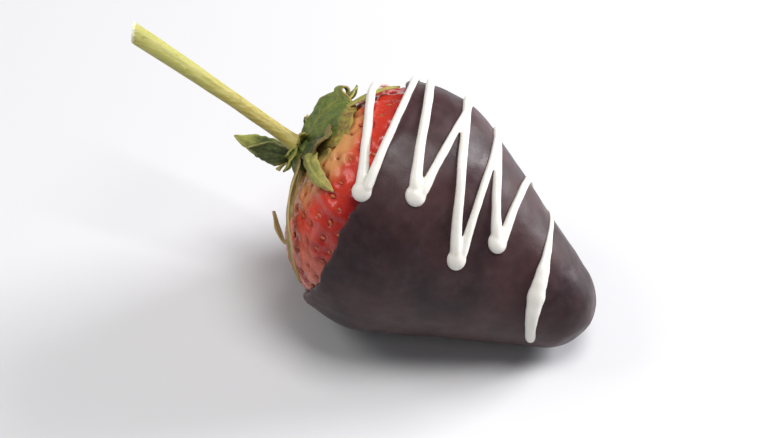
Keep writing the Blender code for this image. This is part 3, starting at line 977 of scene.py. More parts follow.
@dataclass
class Flesh:
    """The red berry, with pits for its seeds, and the seeds themselves."""

    form: BerryForm
    sides: int = 288
    bare_rows: int = 84
    hidden_rows: int = 14
    pit_radius: float = 0.00105
    pit_depth: float = 0.00040
    seed_spacing: float = 0.0031
    first_ring: float = 0.0120
    seed_size: Point = (0.00046, 0.00027, 0.00018)
    seed_depth_share: float = 0.72
    seed_spin: float = 0.35
    seed_growth: tuple[float, float] = (0.85, 1.12)
    seed_taper: float = 0.35
    clear_of_rim: float = 0.0008
    last_ring: float = 0.0125
    full_relief: float = 0.011
    below_rim: float = 0.0016
    rim_fade: float = 0.0014
    swell: float = 0.00022
    ripple: float = 0.00012
    rib: float = 0.00011
    rib_count: int = 26
    redder_side: Point = (3.2, 30.0, 42.0)
    # Painted light on the lower side: its strength, middle turn in degrees and spread.
    blushing_side: Point = (0.66, 116.0, 30.0)
    seeds: list[tuple[float, float]] = field(default_factory=list)

    def scatter_seeds(self) -> None:
        """Lay the seeds out in staggered rings, a little unevenly."""
        chance = random.Random(11)
        distance = self.first_ring
        ring = 0
        while True:
            share = self.form.share_after(distance)
            if self.form.outline(share)[0] > self.last_ring:
                break
            radius = self.form.outline(share)[1]
            count = round(2 * math.pi * radius / self.seed_spacing)
            for index in range(count):
                turn = 2 * math.pi * (index + 0.5 * (ring % 2)) / count
                turn += chance.uniform(-0.22, 0.22) * self.seed_spacing / radius
                jitter = chance.uniform(-0.18, 0.18) * self.seed_spacing
                self.seeds.append((self.form.share_after(distance + jitter), turn % (2 * math.pi)))
            distance += self.seed_spacing * 0.86
            ring += 1

    def build(self) -> None:
        """Build the flesh and its seeds."""
        form = self.form
        self.scatter_seeds()
        tree = KDTree(len(self.seeds))
        for index, (share, turn) in enumerate(self.seeds):
            tree.insert(form.skin(share, turn), index)
        tree.balance()
        rows = self.bare_rows + self.hidden_rows
        rim_shares = {}

        def shape(row: int, turn: float) -> Vector:
            """Place on the flesh for a row and a turn.

            Args:
                row: the row.
                turn: angle round the axis in radians.

            Returns:
                The place.
            """
            key = round(turn, 5)
            if key not in rim_shares:
                rim_shares[key] = form.share_at(form.rim_along(turn) + self.below_rim)
            edge = rim_shares[key]
            if row <= self.bare_rows:
                share = edge * (row / self.bare_rows) ** 0.92
            else:
                share = edge + (1 - edge) * (row - self.bare_rows) / self.hidden_rows
            flat = form.skin(share, turn)
            pit = 0.0
            for _, _, gap in tree.find_range(flat, self.pit_radius):
                pit = max(pit, (1 - (gap / self.pit_radius) ** 2) ** 2)
            along, radius = form.outline(share)
            bare = 1 - smooth_step((along - form.rim_along(turn)) / self.rim_fade)
            spread = smooth_step(radius / self.full_relief)
            swell = (self.swell * noise.noise(flat * 420.0)
                     + self.ripple * noise.noise(flat * 1100.0))
            ribs = self.rib * math.sin(self.rib_count * turn + 2.2 * noise.noise(flat * 160.0))
            relief = (swell + ribs * spread - self.pit_depth * pit * spread) * bare
            return form.placed(form.skin(share, turn, relief))

        flesh = wrapped_sphere("berry_flesh", self.sides, rows, shape)
        axis = form.tilt @ Vector((1, 0, 0))
        ripeness, blushes, pits = [], [], []
        added, orange_turn, orange_spread = self.redder_side
        # How strongly each point gets the painted light of the lower side.
        blush, blush_turn, blush_spread = self.blushing_side
        for vert in flesh.data.vertices:
            local = vert.co - form.shoulder
            own = form.tilt.transposed() @ local
            turn = math.degrees(math.atan2(-own.y, own.z))
            redder = added * (1 - math.exp(-((turn - orange_turn) / orange_spread) ** 2))
            ripeness.append(local.dot(axis) * MILLIMETRES + redder)
            blushes.append(blush * math.exp(-((turn - blush_turn) / blush_spread) ** 2))
            # Nearness to a seed, which sets the painted shade in its pit.
            _, _, gap = tree.find(own)
            pits.append(max(0.0, 1 - gap / self.pit_radius))
        record_values(flesh, ripeness=ripeness, blush=blushes, pit=pits)
        flesh.data.materials.append(BerryFlesh().build())
        settle(flesh, "berry_red", "berry")
        self.build_seeds()

    def build_seeds(self) -> None:
        """Model one seed and set a copy of it in every pit that shows."""
        form = self.form
        chance = random.Random(5)
        copies = []
        for share, turn in self.seeds:
            if form.outline(share)[0] > form.rim_along(turn) + self.clear_of_rim:
                continue
            lift = -self.pit_depth * self.seed_depth_share
            centre = form.placed(form.skin(share, turn, lift))
            outward = (form.tilt @ form.skin_normal(share, turn)).normalized()
            along = form.tilt @ Vector((1, 0, 0))
            along = (along - outward * along.dot(outward)).normalized()
            spin = chance.uniform(-self.seed_spin, self.seed_spin)
            along = Matrix.Rotation(spin, 3, outward) @ along
            side = outward.cross(along)
            size = chance.uniform(*self.seed_growth)
            long, wide, high = (part * size for part in self.seed_size)
            deselect()
            bpy.ops.mesh.primitive_uv_sphere_add(segments=10, ring_count=7, radius=1.0)
            seed = bpy.context.active_object
            for vert in seed.data.vertices:
                taper = 1 - self.seed_taper * vert.co.z
                vert.co = (centre + along * (vert.co.z * long)
                           + side * (vert.co.x * wide * taper)
                           + outward * (vert.co.y * high * taper))
            copies.append(seed)
        seeds = joined(copies, "berry_seeds")
        clean_up(seeds)
        seeds.data.materials.append(Seed().build())
        settle(seeds, "berry_red")


@dataclass
class Coat:
    """The dark chocolate cup with its soft uneven rim, set flat where it lies."""

    form: BerryForm
    sides: int = 264
    outer_rows: int = 92
    rim_rows: int = 10
    inner_rows: int = 14
    inner_lift: float = 0.00012
    rim_ragged: float = 0.00055
    rim_bead: float = 0.00022
    bead_along: float = 0.0010
    bead_spread: float = 0.0009
    swell_from: float = 0.003
    swell: float = 0.00018
    ripple: float = 0.00007
    seam: float = 0.00005

    def rim(self, turn: float) -> float:
        """Distance along the axis of the rim with its small waves.

        Args:
            turn: angle round the axis in radians.

        Returns:
            The distance in metres.
        """
        spot = Vector((math.cos(turn), math.sin(turn), 0.3))
        ragged = noise.noise(spot * 5.0) + 0.5 * noise.noise(spot * 13.0)
        return self.form.rim_along(turn) + self.rim_ragged * ragged

    def outer_lift(self, share: float, turn: float) -> float:
        """Lift of the chocolate's outside, with a bead by its rim and gentle swells.

        Args:
            share: share of the outline, from the shoulder to the nose.
            turn: angle round the axis in radians.

        Returns:
            The lift in metres.
        """
        form = self.form
        beyond = form.outline(share)[0] - self.rim(turn)
        bead = self.rim_bead * math.exp(-((beyond - self.bead_along) / self.bead_spread) ** 2)
        flat = form.skin(share, turn)
        swell = self.swell * noise.noise(flat * 150.0) + self.ripple * noise.noise(flat * 420.0)
        return form.coat_lift(share, turn) + bead + swell * smooth_step(beyond / self.swell_from)

    def build(self) -> None:
        """Build the coat."""
        form = self.form
        rows = self.outer_rows + self.rim_rows + self.inner_rows
        starts = {}

        def shape(row: int, turn: float) -> Vector:
            """Place on the coat for a row and a turn, from the outer nose to the inner one.

            Args:
                row: the row.
                turn: angle round the axis in radians.

            Returns:
                The place.
            """
            key = round(turn, 5)
            if key not in starts:
                starts[key] = form.share_at(self.rim(turn) + form.coat_edge / 2)
            start = starts[key]
            if row <= self.outer_rows:
                share = 1 - (1 - start) * row / self.outer_rows
                place = form.placed(form.skin(share, turn, self.outer_lift(share, turn)))
                return form.footed(place)
            if row < self.outer_rows + self.rim_rows:
                angle = math.pi * (row - self.outer_rows) / self.rim_rows
                top = self.outer_lift(start, turn)
                half = (top + self.seam) / 2
                along = form.outline(start)[0] - half * 0.9 * math.sin(angle)
                lift = half * math.cos(angle) + top - half
                return form.placed(form.skin(form.share_at(along), turn, lift))
            part = (row - self.outer_rows - self.rim_rows) / self.inner_rows
            share = start + (1 - start) * part
            lift = -self.seam + self.inner_lift * smooth_step(part * 4)
            return form.placed(form.skin(share, turn, lift))

        coat = wrapped_sphere("chocolate_shell", self.sides, rows, shape)
        coat.data.materials.append(DarkChocolate().build())
        settle(coat, "dark_chocolate", "chocolate_coat")


@dataclass(frozen=True)
class Run:
    """One run of the drizzle: its ends, its half widths from end to end, its bow and its way."""

    start: tuple[float, float]
    end: tuple[float, float]
    widths: tuple[float, ...]
    bow: float = 0.0
    between: tuple[tuple[float, float], ...] = ()
    flatness: float = 0.80

    def half_width(self, part: float) -> float:
        """Half width at a part of the run, eased between its widths.

        Args:
            part: part of the way, from 0 to 1.

        Returns:
            Half the width in metres.
        """
        place = part * (len(self.widths) - 1)
        index = min(int(place), len(self.widths) - 2)
        share = smooth_step(place - index)
        return self.widths[index] + (self.widths[index + 1] - self.widths[index]) * share


@dataclass
class Drizzle:
    """The white zigzag: soft beads with fat drops where it turned on the near side."""

    form: BerryForm
    coat: Coat
    thin: float = 0.00062
    middle: float = 0.00072
    wide: float = 0.00095
    drop_radius: float = 0.00160
    drop_height: float = 0.00125
    short_turn: float = math.radians(40)
    bead_sides: int = 16
    bead_rows: int = 72
    drop_sides: int = 32
    short_rows: int = 24
    voxel: float = 0.00016
    arrives: float = 0.0002
    leaves: float = 0.0005
    path_steps: int = 5
    climb: float = 0.0012
    leaf_lift: float = 0.0014
    leaf_turn: tuple[float, float] = (-math.radians(26), math.radians(20))
    leaf_along: tuple[float, float] = (0.0038, 0.0030)
    wander: float = 0.00010
    uneven: float = 0.10
    corners: tuple[tuple[float, float], ...] = (
        (0.0045, -44), (0.0096, 43.5), (0.0081, -54), (0.0105, -60), (0.0163, 33), (0.0162, -54),
        (0.0261, 49), (0.0215, -50), (0.0301, 28), (0.0322, -72), (0.0343, -80), (0.0430, 102))
    bows: tuple[float, ...] = (-0.0017, -0.0004, 0.0, -0.0008, 0.0, -0.0012, 0.0, -0.0008)
    last_turn: tuple[tuple[float, float], ...] = (
        (0.0298, 11), (0.0294, -3), (0.0292, -17), (0.0294, -31), (0.0300, -44), (0.0309, -60))
    streak_way: tuple[tuple[float, float], ...] = (
        (0.0364, -12), (0.0385, 26), (0.0395, 45), (0.0411, 69))
    streak: tuple[float, ...] = (0.00045, 0.00045, 0.00050, 0.00078, 0.00115, 0.00138, 0.00146,
                                 0.00130, 0.00105, 0.00085, 0.00060)

    def seat(self, share: float, turn: float) -> float:
        """Lift of what the drizzle lies on: flesh, then chocolate past its rim.

        Args:
            share: share of the outline, from the shoulder to the nose.
            turn: angle round the axis in radians.

        Returns:
            The lift in metres.
        """
        along = self.form.outline(share)[0]
        climb = smooth_step((along - self.coat.rim(turn)) / self.climb + 1.2)
        beside = (turn - self.leaf_turn[0]) / self.leaf_turn[1]
        beyond = (along - self.leaf_along[0]) / self.leaf_along[1]
        over_leaf = self.leaf_lift * math.exp(-beside * beside - beyond * beyond)
        return climb * self.coat.outer_lift(share, turn) + over_leaf

    def hangs_drop(self, number: int) -> bool:
        """Whether a fat drop hangs at a corner: at the near ones, before the drizzle runs out."""
        return self.corners[number][1] > 0 and number < len(self.corners) - 1

    def runs(self) -> list[Run]:
        """The runs between the corners: a thick one down to each drop and a thin one back up.

        Returns:
            The runs in order.
        """
        found = []
        for number, (start, end) in enumerate(zip(self.corners, self.corners[1:])):
            thin, wide = self.thin, self.wide
            if self.hangs_drop(number):
                start = (start[0] + self.leaves, start[1])
                widths = (wide * 0.90, thin * 1.05, thin, thin * 0.95, thin * 0.95)
            elif self.hangs_drop(number + 1):
                end = (end[0] - self.arrives, end[1])
                widths = (thin, self.middle, self.middle, self.middle * 1.08, wide)
            else:
                widths = (thin * 0.9, thin * 0.9)
            bow = self.bows[number] if number < len(self.bows) else 0.0
            found.append(Run(start, end, widths, bow))
        found[-3] = replace(found[-3], between=self.last_turn)
        found[-1] = Run(found[-1].start, found[-1].end, self.streak, 0.0, self.streak_way, 0.55)
        return found

    def off_middle(self, along: float, turn: float) -> float:
        """Distance of the skin from the plane through the axis and the piping side's middle."""
        return self.form.outline(self.form.share_at(along))[1] * math.sin(turn - PIPING_TURN)

    def path(self, run: Run) -> Callable[[float], tuple[float, float]]:
        """The way of a run over the berry. A long run looks straight from the piping side.

        Args:
            run: the run.

        Returns:
            A function that gives the share and turn at a part of the run.
        """
        turn_a, turn_b = math.radians(run.start[1]), math.radians(run.end[1])
        first, last = self.off_middle(run.start[0], turn_a), self.off_middle(run.end[0], turn_b)

        def place(part: float) -> tuple[float, float]:
            """Share and turn at a part of the run.

            Args:
                part: part of the way, from 0 to 1.

            Returns:
                The share and the turn.
            """
            if run.between:
                stops = [Vector((along, math.radians(turn), 0))
                         for along, turn in (run.start, *run.between, run.end)]
                stop = eased(stops, part)
                return self.form.share_at(stop.x), stop.y
            turn = turn_a + (turn_b - turn_a) * part
            along = run.start[0] + (run.end[0] - run.start[0]) * part
            if abs(turn_b - turn_a) > self.short_turn:
                for _ in range(self.path_steps):
                    across = (self.off_middle(along, turn) - first) / (last - first)
                    along = run.start[0] + (run.end[0] - run.start[0]) * across
                along += run.bow * 4 * part * (1 - part)
            return self.form.share_at(along), turn

        return place

    def bead(self, number: int, run: Run) -> bpy.types.Object:
        """One run as a closed soft-ended bead.

        Args:
            number: the run's number.
            run: the run.

        Returns:
            The bead.
        """
        form = self.form
        place = self.path(run)
        short = abs(run.end[1] - run.start[1]) <= math.degrees(self.short_turn)
        rows = self.short_rows if short else self.bead_rows
        spine = []
        for row in range(rows + 1):
            part = row / rows
            share, turn = place(part)
            wander = self.wander * noise.noise(Vector((part * 7.0, number * 3.1, 0.0)))
            normal = form.skin_normal(share, turn)
            point = form.skin(share, turn, self.seat(share, turn))
            spine.append((point, normal, wander))

        def shape(row: int, angle: float) -> Vector:
            """Place on the bead for a row and an angle round it.

            Args:
                row: the row.
                angle: the angle in radians.

            Returns:
                The place.
            """
            point, normal, wander = spine[row]
            before = spine[max(0, row - 1)][0]
            after = spine[min(rows, row + 1)][0]
            forward = (after - before).normalized()
            side = forward.cross(normal).normalized()
            part = row / rows
            half = run.half_width(part)
            half *= 1 + self.uneven * noise.noise(Vector((part * 9.0, number * 1.7, 2.0)))
            closing = math.sqrt(max(0.0, 1 - (2 * abs(part - 0.5)) ** 40))
            high = half * run.flatness * 1.15
            local = (point + side * (half * closing * math.cos(angle) + wander)
                     + normal * (high * closing * math.sin(angle) + high * 0.30))
            return form.placed(local)

        return wrapped_sphere(f"bead_{number}", self.bead_sides, rows, shape)

    def drop(self, number: int, corner: tuple[float, float], radius: float,
             height: float) -> bpy.types.Object:
        """A low round drop at one corner, a little longer down the slope.

        Args:
            number: the drop's number.
            corner: its distance along the axis and its turn in degrees.
            radius: its radius.
            height: its height over what it lies on.

        Returns:
            The drop.
        """
        form = self.form
        share, turn = form.share_at(corner[0]), math.radians(corner[1])
        centre = form.skin(share, turn, self.seat(share, turn))
        normal = form.skin_normal(share, turn)
        down = form.tilt.transposed() @ Vector((0, 0, -1))
        slope = (down - normal * down.dot(normal)).normalized()
        side = normal.cross(slope)
        stretch = 1.0 + self.uneven * noise.noise(Vector((number * 2.3, 0.0, 5.0)))

        def shape(row: int, angle: float) -> Vector:
            """Place on the drop for a row and an angle round it.

            Args:
                row: the row.
                angle: the angle in radians.

            Returns:
                The place.
            """
            polar = math.pi * row / self.short_rows
            out = radius * math.sin(polar)
            local = (centre + slope * (out * math.cos(angle) * 1.05 * stretch)
                     + side * (out * math.sin(angle) / stretch)
                     + normal * (height * math.cos(polar) * 0.92))
            return form.placed(local)

        return wrapped_sphere(f"drop_{number}", self.drop_sides, self.short_rows, shape)

    def build(self) -> None:
        """Build the drizzle and fuse it into one soft body."""
        parts = [self.bead(number, run) for number, run in enumerate(self.runs())]
        for number, corner in enumerate(self.corners):
            if self.hangs_drop(number):
                parts.append(self.drop(number, corner, self.drop_radius, self.drop_height))
            elif number < len(self.corners) - 1:
                parts.append(self.drop(number, corner, self.thin * 1.1, self.thin * 1.1))
        drizzle = joined(parts, "drizzle_white")
        apply_modifier(drizzle, "REMESH", mode="VOXEL", voxel_size=self.voxel,
                       use_smooth_shade=True)
        apply_modifier(drizzle, "SMOOTH", factor=0.5, iterations=9)
        clean_up(drizzle)
        drizzle.data.materials.append(WhiteChocolate().build())
        settle(drizzle, "white_chocolate", "white_drizzle")


@dataclass(frozen=True)
class Whorl:
    """Where a ring of leaves starts: distance from the axis, lift, and the lift it rests at."""

    distance: float
    lift: float
    rest: float


OUTER = Whorl(0.0047, 0.0016, 0.0008)
INNER = Whorl(0.0034, 0.0031, 0.0015)


@dataclass(frozen=True)
class Tail:
    """A leaf's end that coils up: the coil's radius and angle, and the end's width."""

    radius: float
    coil: float
    width: float


@dataclass(frozen=True)
class Leaf:
    """One leaf of the cap: its main sizes, then the details that its solid leaves out."""

    name: str
    whorl: Whorl = OUTER
    turn: float = 0.0
    sweep: float = 0.0
    reach: float = 0.0
    stand: float = 0.0
    width: float = 0.0
    twist: float = 0.0
    tone: LeafTone = LeafTone.FRESH
    curl: float = 0.0
    ripple: float = 0.00022
    cup: float = 0.16
    dry_edge: float = 0.0
    dry_from: float = 2.0
    root: float = 0.46
    fullness: float = 0.85
    tail: Tail | None = None
    edges: tuple[tuple[Point, Point, Point], ...] = ()
    node: bool = True


@dataclass(frozen=True)
class Station:
    """One row of a leaf: its centre, side and top, its place along the leaf and half width."""

    centre: Vector
    side: Vector
    top: Vector
    part: float
    half: float
    bow: Vector = Vector((0, 0, 0))


@dataclass
class Cap:
    """The leafy cap: its ridged middle, its leaves and the small bracts round the stalk."""

    form: BerryForm
    hub_radius: float = 0.0042
    hub_height: float = 0.0028
    blade_widest: float = 0.42
    thickness: float = 0.00032
    across: int = 22
    along: int = 48
    tail_rows: int = 16
    hub_sides: int = 80
    hub_rows: int = 30
    hub_dome: float = 0.75
    hub_bumps: float = 0.00012
    hidden_root: float = -0.10
    curl_from: float = 0.62
    smoother: float = 0.45
    ragged: float = 0.12
    teeth: float = 0.05
    least_half: float = 0.00006
    cockle: float = 0.00012
    vein: float = 0.00010
    bract_whorl: Whorl = Whorl(0.0017, 0.0030, 0.0027)
    leaves: tuple[Leaf, ...] = (
        Leaf("sepal_01", ripple=0.00042, cup=0.0, dry_edge=1.0, tail=Tail(0.00085, 4.3, 0.0016),
             edges=(((-2.5, 1.0, 1.6), (-2.0, 0.9, 2.4), (-0.9, 0.6, 4.6)),
                    ((-3.5, 2.8, 1.6), (-2.4, 3.0, 4.4), (2.2, 2.6, 12.4)),
                    ((-4.1, 4.9, 1.8), (-2.4, 5.1, 4.9), (3.0, 5.4, 12.6)),
                    ((-3.9, 6.9, 2.2), (-2.1, 7.3, 4.8), (2.7, 8.0, 10.9)),
                    ((-3.0, 9.0, 3.0), (-1.6, 9.3, 4.5), (1.5, 9.9, 6.6)),
                    ((-2.5, 10.1, 3.6), (-2.0, 10.4, 4.1), (-1.1, 10.7, 4.9)))),
        Leaf("sepal_02", OUTER, -4, -21, 0.0138, 0.0001, 0.0030, -12, LeafTone.YELLOWING, 0.0,
             0.0001),
        Leaf("sepal_03", OUTER, 27, 0, 0.0070, 0.0004, 0.0066, -6, LeafTone.SHADED, 0.4, 0.0005,
             0.12, dry_from=0.45, root=0.8, fullness=0.45),
        Leaf("sepal_04", OUTER, 45, 8, 0.0134, 0.0007, 0.0036, 10, LeafTone.YELLOWING, -0.5,
             0.0003, 0.40),
        Leaf("sepal_05", INNER, 76, 2, 0.0026, 0.0086, 0.0036, 24, LeafTone.SHADED, 0.2),
        Leaf("sepal_06", OUTER, 66, 45, 0.0165, 0.0000, 0.0026, 24, LeafTone.DRIED, 0.0),
        Leaf("sepal_07", tone=LeafTone.DRIED,
             edges=(((-0.9, -3.0, 3.4), (-0.6, -2.9, 3.6), (-0.3, -2.8, 3.8)),
                    ((0.5, -7.8, 5.5), (0.9, -7.7, 5.8), (1.3, -7.6, 6.1)),
                    ((2.1, -11.0, 5.6), (2.5, -10.9, 5.9), (2.8, -10.8, 6.3)),
                    ((3.4, -13.0, 4.9), (3.5, -13.0, 5.4), (3.6, -13.0, 5.9)),
                    ((3.1, -13.6, 3.9), (3.0, -13.7, 4.4), (2.9, -13.8, 4.9)),
                    ((1.5, -12.3, 3.5), (1.1, -12.5, 4.0), (0.6, -12.8, 4.5)),
                    ((-0.8, -10.5, 3.4), (-0.9, -10.6, 3.6), (-1.0, -10.6, 3.8)))),
        Leaf("sepal_08", INNER, 188, 10, 0.0040, 0.0126, 0.0036, -24, LeafTone.TIPPED, 0.2),
        Leaf("sepal_09", OUTER, 226, -2, 0.0124, 0.0004, 0.0066, 0, LeafTone.FRESH),
        Leaf("sepal_10", OUTER, 272, 2, 0.0104, 0.0026, 0.0070, 10, LeafTone.FRESH, 0.8, 0.0004),
    )

    def bracts(self) -> list[Leaf]:
        """Small leaves that stand round the foot of the stalk.

        Returns:
            The small leaves.
        """
        table = ((-28, 0.0030, 0.0016, 0.0020, 20), (18, 0.0034, 0.0008, 0.0023, -14),
                 (63, 0.0032, 0.0010, 0.0021, 12), (104, 0.0030, 0.0020, 0.0019, -20),
                 (152, 0.0034, 0.0014, 0.0022, 16), (206, 0.0030, 0.0018, 0.0020, -10),
                 (251, 0.0034, 0.0012, 0.0024, 18), (300, 0.0030, 0.0016, 0.0021, -16),
                 (58, 0.0088, 0.0006, 0.0021, 10))
        tones = (LeafTone.FRESH, LeafTone.SHADED, LeafTone.YELLOWING)
        return [Leaf(f"bract_{number:02d}", self.bract_whorl, turn, 6, reach, stand, width, twist,
                     tones[number % 3], 0.5, 0.00015, 0.3, node=False)
                for number, (turn, reach, stand, width, twist) in enumerate(table, start=1)]

    def blade(self, leaf: Leaf, part: float) -> float:
        """Width of a leaf's blade as a share of its widest.

        Args:
            leaf: the leaf.
            part: part of the way, from 0 to 1.

        Returns:
            The width as a share.
        """
        if part < self.blade_widest:
            swell = math.sin(math.pi / 2 * part / self.blade_widest)
            return leaf.root + (1 - leaf.root) * swell
        past = (part - self.blade_widest) / (1 - self.blade_widest)
        return max(0.0, math.cos(math.pi / 2 * past)) ** leaf.fullness

    def roll(self, leaf: Leaf, part: float) -> float:
        """How far the blade is rolled about its midrib."""
        return math.radians(leaf.twist) * (0.45 + 0.55 * math.sin(math.pi / 2 * part))

    def midrib(self, leaf: Leaf, part: float) -> Vector:
        """Point on a leaf's midrib in the berry's own frame.

        Args:
            leaf: the leaf.
            part: part of the way, from 0 to 1.

        Returns:
            The point.
        """
        settled = (leaf.whorl.lift - leaf.whorl.rest) * (1 - part) ** 3
        dip = leaf.width / 2 * self.blade(leaf, part) * abs(math.sin(self.roll(leaf, part)))
        lift = leaf.whorl.rest + settled + dip + leaf.stand * part ** 1.1
        share = self.form.share_after(leaf.whorl.distance + leaf.reach * part)
        return self.form.skin(share, math.radians(leaf.turn + leaf.sweep * part), lift)

    def stations(self, leaf: Leaf) -> list[Station]:
        """The rows of a leaf from its root to its end, its end bent over or coiled up.

        Args:
            leaf: the leaf.

        Returns:
            One station for each row.
        """
        rows = self.along - (self.tail_rows if leaf.tail else 0)
        if leaf.edges:
            found = self.laid_out(leaf, rows)
            if leaf.tail:
                heading = found[-1].centre - found[-3].centre
                found.extend(self.coiled(leaf.tail, found[-1], heading))
            return found
        start = self.hidden_root
        length = (self.midrib(leaf, 1.0) - self.midrib(leaf, 0.0)).length
        found = []
        for row in range(rows + 1):
            part = start + (1 - start) * row / rows
            held = max(0.0, part)
            here = self.midrib(leaf, held)
            step = self.midrib(leaf, min(1.0, held + 0.02)) - self.midrib(leaf, min(0.98, held))
            forward = step.normalized()
            spoke = math.radians(leaf.turn + leaf.sweep * held)
            side = Vector((0, math.cos(spoke), math.sin(spoke)))
            top = side.cross(forward).normalized()
            top = Matrix.Rotation(self.roll(leaf, held), 3, forward) @ top
            side = forward.cross(top)
            if part < 0:
                here = here + forward * (part * leaf.reach)
            curled = max(0.0, part - self.curl_from) / (1 - self.curl_from)
            bend = Matrix.Rotation(-leaf.curl * curled ** 1.3, 3, side)
            if curled > 0 and leaf.curl:
                here = found[-1].centre + (bend @ forward) * (length * (1 - start) / rows)
            half = leaf.width / 2 * self.blade(leaf, held)
            found.append(Station(here, side, (bend @ top).normalized(), max(0.0, part), half))
        return found

    def laid_out(self, leaf: Leaf, rows: int) -> list[Station]:
        """The rows of a leaf that is given by its left edge, middle and right edge.

        The numbers are millimetres along the axis, up and out as seen from the piping side.

        Args:
            leaf: the leaf.
            rows: number of rows of faces.

        Returns:
            One station for each row.
        """
        up = Vector((0, math.cos(PIPING_TURN), math.sin(PIPING_TURN)))
        out = Vector((0, -math.sin(PIPING_TURN), math.cos(PIPING_TURN)))
        lines = []
        for column in range(3):
            points = [Vector((row[column][0], 0, 0)) / MILLIMETRES
                      + up * (row[column][1] / MILLIMETRES)
                      + out * (row[column][2] / MILLIMETRES) for row in leaf.edges]
            lines.append([eased(points, row / rows) for row in range(rows + 1)])
        found = []
        for row in range(rows + 1):
            left, middle, right = (line[row] for line in lines)
            forward = (lines[1][min(rows, row + 1)] - lines[1][max(0, row - 1)]).normalized()
            across = (right - left) / 2
            side = across.normalized()
            bow = (right + left) / 2 - middle
            found.append(Station(middle, side, side.cross(forward).normalized(), row / rows,
                                 across.length, bow))
        return found

    def coiled(self, tail: Tail, last: Station, heading: Vector) -> list[Station]:
        """The rows of a coiled tail, which turns about the direction of the piping side.

        Args:
            tail: the tail.
            last: the station that it grows out of.
            heading: the way the leaf goes there.

        Returns:
            One station for each row.
        """
        facing = Vector((0, -math.sin(PIPING_TURN), math.cos(PIPING_TURN)))
        forward = (heading - facing * heading.dot(facing)).normalized()
        inward = -facing.cross(forward)
        tilt = facing * math.cos(0.5) + inward * math.sin(0.5)
        found = []
        for row in range(1, self.tail_rows + 1):
            share = row / self.tail_rows
            angle = tail.coil * share
            tightened = tail.radius * (1 - 0.06 * angle)
            tangent = forward * math.cos(angle) + inward * math.sin(angle)
            place = last.centre + inward * (tail.radius - tightened * math.cos(angle))
            place = place + forward * (tightened * math.sin(angle))
            turned = math.copysign(1.0, last.side.dot(tilt))
            side = last.side.lerp(tilt * turned, smooth_step(share * 4)).normalized()
            side = (side - tangent * side.dot(tangent)).normalized()
            half = last.half + (tail.width / 2 - last.half) * smooth_step(share * 3)
            half *= 1 - 0.6 * share * share
            top = side.cross(tangent).normalized()
            found.append(Station(place, side, top, 1.0 + 0.2 * share, half))
        return found

    def build_leaf(self, leaf: Leaf, finish: bpy.types.Material) -> None:
        """Build one leaf from a flat grid.

        Args:
            leaf: the leaf.
            finish: its material.
        """
        deselect()
        bpy.ops.mesh.primitive_grid_add(
            x_subdivisions=self.across, y_subdivisions=self.along, size=2.0)
        piece = bpy.context.active_object
        piece.name = leaf.name.replace("sepal", "leaf")
        piece.data.name = piece.name
        stations = self.stations(leaf)
        seed = float(int(leaf.name[-2:]))
        across_values, along_values, dry_values = [], [], []
        for vert in piece.data.vertices:
            place, row = vert.co.x, round((vert.co.y + 1) / 2 * self.along)
            station = stations[row]
            part = station.part
            rough = self.smoother if leaf.edges else 1.0
            beside = Vector((part * 9.0, math.copysign(2.0, place), seed))
            ragged = 1 + self.ragged * rough * noise.noise(beside)
            teeth = 1 + (self.teeth * rough * math.sin(part * 46.0 + seed)
                         * smooth_step((part - 0.35) / 0.3))
            half = max(station.half * ragged * teeth, self.least_half)
            ripple = leaf.ripple * smooth_step(part * 3) * (1 - smooth_step((part - 0.9) * 8))
            wave = math.sin(part * 9.0 + seed + (1.6 if place > 0 else 0.0)) * abs(place)
            crumple = noise.noise(Vector((place * 1.9, part * 4.5, seed * 3)))
            height = (leaf.cup * half * abs(place) ** 1.5 + ripple * (wave + 1.1 * crumple)
                      + self.cockle * noise.noise(Vector((place * 2.6, part * 7.0, seed))))
            vein = self.vein * math.exp(-(place / 0.10) ** 2)
            local = station.centre + station.side * (half * place) + station.top * (height - vein)
            local = local + station.bow * (place * place)
            vert.co = self.form.placed(local)
            across_values.append(abs(place))
            along_values.append(part)
            edge = smooth_step((place * leaf.dry_edge - 0.45) / 0.5)
            dry_values.append(max(edge, smooth_step((part - leaf.dry_from) / 0.35)))
        record_values(piece, across=across_values, along=along_values, dry=dry_values)
        apply_modifier(piece, "SOLIDIFY", thickness=self.thickness, offset=0.0,
                       use_even_offset=False)
        apply_modifier(piece, "SUBSURF", levels=1, render_levels=1)
        clean_up(piece, merge=False)
        piece.data.materials.append(finish)
        settle(piece, "sepal_green", *([leaf.name] if leaf.node else []))

    def build_hub(self, finish: bpy.types.Material) -> None:
        """Build the cap's middle, ridged where the leaves grow out of it.

        Args:
            finish: its material.
        """
        form = self.form

        def shape(row: int, turn: float) -> Vector:
            """Place on the hub for a row and a turn, from its top to its underside.

            Args:
                row: the row.
                turn: angle round the axis in radians.

            Returns:
                The place.
            """
            part = row / self.hub_rows
            if part < self.hub_dome:
                angle = math.pi / 2 * (1 - part / self.hub_dome)
                ridge = 1 + 0.09 * math.sin(10 * turn) * math.cos(angle) + 0.05 * math.sin(5 * turn)
                out = self.hub_radius * math.cos(angle) ** 0.8 * ridge
                spot = Vector((math.cos(turn), math.sin(turn), part)) * 6.0
                high = self.hub_height * math.sin(angle) + self.hub_bumps * noise.noise(spot)
                own = Vector((-0.0003 - high, -out * math.sin(turn), out * math.cos(turn)))
                return form.placed(own)
            under = (1 - part) / (1 - self.hub_dome)
            share = form.share_after(self.hub_radius * under)
            return form.placed(form.skin(share, turn, 0.0001))

        hub = wrapped_sphere("cap_middle", self.hub_sides, self.hub_rows, shape)
        count = len(hub.data.vertices)
        record_values(hub, across=[0.3] * count, along=[0.3] * count, dry=[0.0] * count)
        hub.data.materials.append(finish)
        settle(hub, "sepal_green", "calyx_hub")

